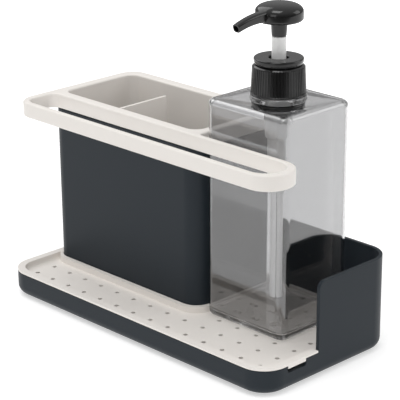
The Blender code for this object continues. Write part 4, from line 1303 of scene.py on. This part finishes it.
@dataclass
class Closure:
    """The ribbed screw closure and the lock collar on it."""

    layout: Layout
    bottom: float = 0.1515
    top: float = 0.1685
    foot_radius: float = 0.0159
    top_radius: float = 0.0152
    lip: float = 0.0162
    lip_height: float = 0.0009
    chamfer: float = 0.0013
    chamfer_height: float = 0.0012
    bore: float = 0.0139
    web_bottom: float = 0.1646
    web_hole: float = 0.0093
    small: float = 0.0003
    rib_lead: float = 0.0004
    rib_draft: float = 0.00001
    ribs: int = 60
    steps_per_rib: int = 4
    rib_depth: float = 0.0005
    lock_bottom: float = 0.1688
    lock_top: float = 0.1727
    lock_radius: float = 0.0144
    lock_foot: float = 0.0136
    lock_bore: float = 0.00575
    spigot: float = 0.009
    spigot_bottom: float = 0.1646
    lock_rise: float = 0.0019
    lock_edge: float = 0.0009
    lock_lead: float = 0.0005

    def ribbed(self) -> Shape:
        """Make the closure, with its ribs drawn in between lip and chamfer.

        Returns:
            A closed bmesh.
        """
        small, lead = self.small, self.rib_lead
        lip_top = self.bottom + self.lip_height
        shoulder = self.top - self.chamfer_height
        section = traced(
            (self.bore, self.bottom), (self.lip, self.bottom, small, 3),
            (self.lip, lip_top, small, 3), (self.foot_radius, lip_top),
            (self.foot_radius - self.rib_draft, lip_top + lead), (self.top_radius, shoulder),
            (self.top_radius - small, shoulder + lead),
            (self.top_radius - self.chamfer, self.top, small, 3), (self.web_hole, self.top),
            (self.web_hole, self.web_bottom), (self.bore, self.web_bottom),
        )
        steps = self.ribs * self.steps_per_rib
        shape = turned(section, Vector((0.0, 0.0, 0.0)), steps)
        grooves = []
        for point in shape.verts:
            outside = math.hypot(point.co.x, point.co.y) >= self.bore + lead * 2
            if outside and lip_top + lead / 2 < point.co.z < shoulder + lead / 4:
                step = round(math.atan2(point.co.y, point.co.x) / WHOLE * steps)
                if step % self.steps_per_rib >= self.steps_per_rib / 2:
                    grooves.append(point)
        share = 1 - self.rib_depth / self.foot_radius
        bmesh.ops.scale(shape, verts=grooves, vec=(share, share, 1.0))
        return moved_to(shape, self.layout.axis)

    def build(self) -> None:
        """Make both pieces and dress them."""
        Piece("ribbed_closure", self.ribbed()).smooth(angle=25.0).dress(
            BLACK, "closure", "closure_collar"
        )
        lead = self.rib_lead
        section = traced(
            (self.lock_bore, self.spigot_bottom), (self.spigot, self.spigot_bottom),
            (self.spigot, self.lock_bottom), (self.lock_foot, self.lock_bottom, self.small, 3),
            (self.lock_radius, self.lock_bottom + self.lock_rise, lead, 3),
            (self.lock_radius, self.lock_top, self.lock_edge, 6),
            (self.lock_bore + lead, self.lock_top, lead, 3),
            (self.lock_bore, self.lock_top - self.lock_lead),
        )
        disc = turned(section, self.layout.axis, steps=128)
        Piece("lock_disc", disc).smooth(angle=30.0).dress(BLACK, "pump_body", "lock_collar")


@dataclass
class PumpBody:
    """What hangs in the bottle: housing, gasket, dip tube, spring and ball."""

    layout: Layout
    flange_top: float = 0.1643
    flange_bottom: float = 0.1629
    flange: float = 0.0121
    barrel_top: float = 0.126
    socket_top: float = 0.1
    socket_bottom: float = 0.092
    taper: float = 0.0015
    housing: float = 0.0071
    barrel: float = 0.0057
    socket: float = 0.0049
    bore: float = 0.0059
    spring_bore: float = 0.0045
    ball_bore: float = 0.0024
    seat_bore: float = 0.0013
    seat_level: float = 0.104
    ledge: float = 0.1087
    cylinder_floor: float = 0.1272
    tube: float = 0.0035
    tube_bore: float = 0.0026
    tube_bottom: float = 0.0265
    tube_top: float = 0.0994
    spring_radius: float = 0.0029
    spring_wire: float = 0.0008
    spring_bottom: float = 0.109
    spring_top: float = 0.1467
    spring_curls: int = 13
    steps_per_curl: int = 20
    end_rise: float = 0.0009
    small: float = 0.0004

    def housing_section(self) -> list[Corner]:
        """Draw the stepped housing.

        Returns:
            The section's corners.
        """
        small = self.small
        tube_bore = self.tube + self.layout.gap
        return traced(
            (self.bore, self.flange_top), (self.bore, self.cylinder_floor),
            (self.spring_bore, self.cylinder_floor), (self.spring_bore, self.ledge),
            (self.ball_bore, self.ledge), (self.ball_bore, self.seat_level),
            (self.seat_bore, self.seat_level), (self.seat_bore, self.socket_top - self.layout.gap),
            (tube_bore, self.socket_top - self.layout.gap), (tube_bore, self.socket_bottom),
            (self.socket, self.socket_bottom, small, 3),
            (self.socket, self.socket_top - self.taper, small, 3),
            (self.barrel, self.socket_top, small, 3),
            (self.barrel, self.barrel_top - self.taper, small, 3),
            (self.housing, self.barrel_top, small, 3), (self.housing, self.flange_bottom),
            (self.flange, self.flange_bottom), (self.flange, self.flange_top, small, 3),
        )

    def spring_shape(self) -> Shape:
        """Make the coil spring, with close curls at both ends.

        Returns:
            A closed bmesh.
        """
        shape = bmesh.new()
        wire = self.spring_wire / 2
        circle = bmesh.ops.create_circle(shape, cap_ends=False, segments=8, radius=wire)
        low, high = self.spring_bottom + wire, self.spring_top - wire
        upright = Matrix.Rotation(QUARTER, 4, "X")
        place = Matrix.Translation((self.spring_radius, 0.0, low))
        bmesh.ops.transform(shape, matrix=place @ upright, verts=circle["verts"])
        per_curl = self.steps_per_curl
        count = self.spring_curls * per_curl
        open_rise = (high - low - 2 * self.end_rise) / (count - 2 * per_curl)
        turn = Matrix.Rotation(WHOLE / per_curl, 3, "Z")
        edges = list(shape.edges)
        for index in range(count):
            at_end = index < per_curl or index >= count - per_curl
            rise = self.end_rise / per_curl if at_end else open_rise
            points, edges = drawn_on(shape, edges)
            bmesh.ops.rotate(shape, verts=points, cent=(0, 0, 0), matrix=turn)
            bmesh.ops.translate(shape, verts=points, vec=(0.0, 0.0, rise))
        ends = [edge for edge in shape.edges if edge.is_boundary]
        bmesh.ops.holes_fill(shape, edges=ends, sides=0)
        return closed(moved_to(shape, self.layout.axis))

    def build(self) -> None:
        """Make the pieces and dress them."""
        housing = turned(self.housing_section(), self.layout.axis, steps=64)
        Piece("pump_cylinder", housing).smooth(angle=30.0).dress(MILKY, "pump_body", "pump_housing")
        tube = turned(
            traced(
                (self.tube_bore, self.tube_bottom), (self.tube, self.tube_bottom),
                (self.tube, self.tube_top), (self.tube_bore, self.tube_top),
            ),
            self.layout.axis, steps=48,
        )
        Piece("suction_tube", tube).smooth(angle=30.0).dress(TUBING, "pump_body", "dip_tube")
        spring = Piece("coil_spring", self.spring_shape()).smooth(angle=60.0)
        spring.dress(STEEL, "pump_body", "return_spring")
        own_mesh(spring.item)
        dress_node("housing_gasket", RUBBER)
        dress_node("valve_ball", STEEL)


@dataclass
class Plunger:
    """The white stem with its piston, and the black head on it."""

    layout: Layout
    stem: float = 0.0042
    stem_bore: float = 0.0019
    stem_top: float = 0.1847
    spigot: float = 0.0032
    spigot_length: float = 0.007
    shoulder: float = 0.1543
    tail: float = 0.003
    stem_bottom: float = 0.147
    neck_bottom: float = 0.185
    neck_foot: float = 0.00435
    neck_top: float = 0.0048
    head_bottom: float = 0.1937
    head: float = 0.014
    side_top: float = 0.1984
    dome: float = 0.006
    fullness: float = 0.82
    edge: float = 0.0019
    ring: float = 0.0053
    ring_height: float = 0.002
    spout_root: float = 0.0036
    spout_tip: float = 0.0024
    spout_bore: float = 0.0019
    spout_reach: float = 0.0346
    spout_rise: float = 0.0044
    spout_drop: float = 0.0032
    spout_start: float = 0.007
    bend_share: float = 0.45
    spout_corner: float = 0.62
    bore_corner: float = 0.999
    spout_steps: int = 24
    dome_steps: int = 12
    small: float = 0.0003
    smaller: float = 0.0002
    head_edge: float = 0.0004

    def head_shape(self) -> Shape:
        """Make the domed head with its neck, before the spout is added.

        Returns:
            A closed bmesh.
        """
        ring_bottom = self.head_bottom - self.ring_height
        section = traced(
            (0.0, self.neck_bottom), (self.neck_foot, self.neck_bottom, self.small, 3),
            (self.neck_top, ring_bottom, self.smaller, 2), (self.ring, ring_bottom, self.small, 3),
            (self.ring, self.head_bottom, self.smaller, 2),
            (self.head, self.head_bottom, self.edge, 10),
        )
        for index in range(self.dome_steps):
            angle = QUARTER * index / self.dome_steps
            out, rise = math.cos(angle) ** self.fullness, math.sin(angle) ** self.fullness
            section.append(Corner(self.head * out, self.side_top + self.dome * rise))
        section.append(Corner(0.0, self.side_top + self.dome))
        return turned(section, self.layout.axis, steps=128)

    def spout(
        self, start: float, reach: float, root: float, tip: float, rounding: float
    ) -> Shape:
        """Return a bar along the spout's line.

        Args:
            start: Distance from the axis where it begins.
            reach: Distance from the axis where it ends.
            root: Half of its width at the axis.
            tip: Half of its width at the spout's end.
            rounding: Rounding of its corners, as a share of half its width.

        Returns:
            A closed bmesh.
        """
        shape = bmesh.new()
        level = self.head_bottom + self.spout_rise
        bend = self.spout_reach * self.bend_share
        nearby = self.smaller / 2

        def drop(out: float) -> float:
            """Return how far the line has come down at a distance from the axis."""
            return self.spout_drop * (max(0.0, out - bend) / (self.spout_reach - bend)) ** 2

        face = rounded_face(shape, rectangle(-1.0, 1.0, -1.0, 1.0, [rounding] * 4, steps=8))
        ring, edges = list(face.verts), list(face.edges)
        for index in range(self.spout_steps + 1):
            out = start + (reach - start) * index / self.spout_steps
            radius = root + (tip - root) * out / self.spout_reach
            slope = math.atan2(drop(out + nearby) - drop(out - nearby), nearby * 2)
            if index:
                ring, edges = drawn_on(shape, edges)
                bmesh.ops.transform(shape, matrix=last.inverted(), verts=ring)
            place = (self.layout.pump_x, self.layout.pump_y - out, level - drop(out))
            turn = Matrix.Rotation(QUARTER + slope, 4, "X")
            last = Matrix.Translation(place) @ turn @ Matrix.Scale(radius, 4)
            bmesh.ops.transform(shape, matrix=last, verts=ring)
        bmesh.ops.holes_fill(shape, edges=edges, sides=0)
        return closed(shape)

    def build(self) -> None:
        """Make the pieces and dress them."""
        axis = self.layout.axis
        spigot_top = self.stem_top + self.spigot_length
        section = traced(
            (self.stem_bore, self.stem_bottom), (self.tail, self.stem_bottom),
            (self.tail, self.shoulder), (self.stem, self.shoulder, self.small, 3),
            (self.stem, self.stem_top, self.small, 3), (self.spigot, self.stem_top),
            (self.spigot, spigot_top), (self.stem_bore, spigot_top),
        )
        Piece("hollow_stem", turned(section, axis, steps=64)).smooth(angle=30.0).dress(
            WHITE, "plunger", "pump_stem"
        )
        dress_node("pump_piston", WHITE)
        head = Piece("domed_head", self.head_shape())
        outer = self.spout(
            self.spout_start, self.spout_reach, self.spout_root, self.spout_tip, self.spout_corner
        )
        head.join(outer)
        level, below = self.head_bottom + self.spout_rise, self.neck_bottom - OVERRUN
        wide, high = self.spigot + self.layout.gap, spigot_top + self.layout.gap
        socket = traced(
            (0.0, below), (wide, below), (wide, high), (self.spout_bore, high),
            (self.spout_bore, level), (0.0, level),
        )
        head.cut(turned(socket, axis, steps=64))
        end = self.spout_reach + OVERRUN
        bore = self.spout(0.0, end, self.spout_bore, self.spout_bore, self.bore_corner)
        head.cut(bore)
        head.soften(self.head_edge, angle=40.0).smooth(angle=35.0)
        head.dress(BLACK, "dispensing_head", "pump_head")


# Studio


@dataclass(frozen=True)
class Softbox:
    """A square soft light: where it hangs, the length of its sides and its power in watts."""

    name: str
    place: tuple[float, float, float]
    size: float
    power: float

    def hang(self, target: Sequence[float]) -> None:
        """Hang the light.

        Args:
            target: The point that it faces.
        """
        data = bpy.data.lights.new(self.name, "AREA")
        data.shape = "SQUARE"
        data.size = self.size
        data.energy = self.power
        lamp = placed(self.name, data)
        lamp.location = self.place
        gaze = Vector(target) - Vector(self.place)
        lamp.rotation_euler = gaze.to_track_quat("-Z", "Y").to_euler()


@dataclass
class Studio:
    """The pale floor, the soft lights and the camera."""

    floor_size: float = 14.0
    dim_start: float = 0.6
    dim_end: float = 0.8
    dim_share: float = 0.12
    seen_share: float = 2.0
    floor_colour: float = 0.7
    floor_glow: float = 0.5
    sky_bottom: float = -0.3
    sky_top: float = 0.9
    sky_low: float = 0.03
    sky_high: float = 0.75
    lights: tuple[Softbox, ...] = (
        Softbox("overhead_softbox", (0.15, -0.35, 1.5), 0.7, 6.0),
        Softbox("front_softbox", (0.5, -1.6, 0.5), 0.8, 2.8),
        Softbox("left_softbox", (-1.25, 0.0, 1.25), 1.2, 7.0),
        Softbox("right_softbox", (1.0, 1.2, 0.85), 1.0, 5.0),
    )
    light_target: tuple[float, float, float] = (0.0, 0.0, 0.08)
    camera_place: tuple[float, float, float] = (0.68807, -0.66640, 0.42094)
    azimuth: float = 45.6153
    elevation: float = 19.7774
    roll: float = -0.2796
    lens: float = 152.61

    def lay_floor(self) -> None:
        """Lay the floor, which glows a little so that it stays white."""
        shape = bmesh.new()
        bmesh.ops.create_grid(shape, x_segments=1, y_segments=1, size=self.floor_size / 2)
        floor = Piece("pale_floor", shape).item
        material = bpy.data.materials.new("pale_floor_finish")
        material.use_nodes = True
        tree = material.node_tree
        shader = tree.nodes["Principled BSDF"]
        shader.inputs["Roughness"].default_value = 0.9
        shader.inputs["Specular IOR Level"].default_value = 0.1
        shader.inputs["Emission Color"].default_value = (1.0, 1.0, 1.0, 1.0)
        share = self.lit_share(tree)
        for name, value in (
            ("Base Color", self.floor_colour), ("Emission Strength", self.floor_glow)
        ):
            scaled = wired(tree, "Math", {0: share, 1: value}, "MULTIPLY")
            tree.links.new(scaled.outputs[0], shader.inputs[name])
        floor.data.materials.append(material)

    def lit_share(self, tree: bpy.types.NodeTree) -> bpy.types.NodeSocket:
        """Return how much of its light a place on the floor gives, from 0 to 1 and more.

        What the camera sees of the floor is white everywhere. In reflections the floor ends a
        little way in front of the part, as a studio table does, so that gloss black stays black.

        Args:
            tree: The floor material's nodes.

        Returns:
            The socket with the share.
        """
        azimuth = math.radians(self.azimuth)
        place = tree.nodes.new("ShaderNodeTexCoord").outputs["Object"]
        view = (math.sin(azimuth), -math.cos(azimuth), 0.0)
        ahead = wired(tree, "VectorMath", {0: place, 1: view}, "DOT_PRODUCT")
        away = wired(tree, "VectorMath", {0: place}, "LENGTH")
        mirrored, seen = (
            wired(tree, "MapRange", {
                "Value": node.outputs["Value"], "From Min": self.dim_start,
                "From Max": self.dim_end, "To Min": 1.0, "To Max": share,
            }).outputs["Result"]
            for node, share in ((ahead, self.dim_share), (away, self.seen_share))
        )
        by_camera = tree.nodes.new("ShaderNodeLightPath").outputs["Is Camera Ray"]
        mix = wired(tree, "Mix", {"Factor": by_camera, "A": mirrored, "B": seen})
        return mix.outputs["Result"]

    def hang_sky(self) -> None:
        """Surround the scene with a dim room that grows lighter towards its ceiling."""
        world = bpy.data.worlds.new("studio")
        world.use_nodes = True
        tree = world.node_tree
        background = tree.nodes["Background"].inputs
        place = tree.nodes.new("ShaderNodeTexCoord").outputs["Generated"]
        height = wired(tree, "SeparateXYZ", {0: place}).outputs["Z"]
        strength = wired(tree, "MapRange", {
            "Value": height, "From Min": self.sky_bottom, "From Max": self.sky_top,
            "To Min": self.sky_low, "To Max": self.sky_high,
        })
        tree.links.new(strength.outputs["Result"], background["Strength"])
        background["Color"].default_value = (1.0, 1.0, 1.0, 1.0)
        bpy.context.scene.world = world

    def light(self) -> None:
        """Light the scene evenly, with a soft key from the front and the left."""
        self.hang_sky()
        for softbox in self.lights:
            softbox.hang(self.light_target)

    def set_camera(self) -> None:
        """Set the camera at the photograph's view."""
        data = bpy.data.cameras.new("camera")
        data.lens = self.lens
        data.sensor_width = 36.0
        data.clip_start = 0.05
        camera = placed("camera", data)
        camera.matrix_world = Matrix.Translation(self.camera_place)
        for angle, axis in ((self.azimuth, "Z"), (90.0 - self.elevation, "X"), (self.roll, "Z")):
            camera.matrix_world @= Matrix.Rotation(math.radians(angle), 4, axis)
        bpy.context.scene.camera = camera

    def build(self) -> None:
        """Set up floor, lights, camera and the plain view of colours."""
        self.lay_floor()
        self.light()
        self.set_camera()
        bpy.context.scene.view_settings.view_transform = "Standard"


def main() -> None:
    """Build every sub-assembly in order, and report each piece."""
    logging.basicConfig(level=logging.INFO, format="%(name)s: %(message)s")
    layout = Layout()
    Studio().build()
    assemblies = (
        Base(layout), DripTray(layout), Holder(layout), Insert(), Bottle(layout),
        Closure(layout), PumpBody(layout), Plunger(layout),
    )
    for assembly in assemblies:
        assembly.build()
        LOG.info("%s is done", type(assembly).__name__)


if __name__ == "__main__":
    main()
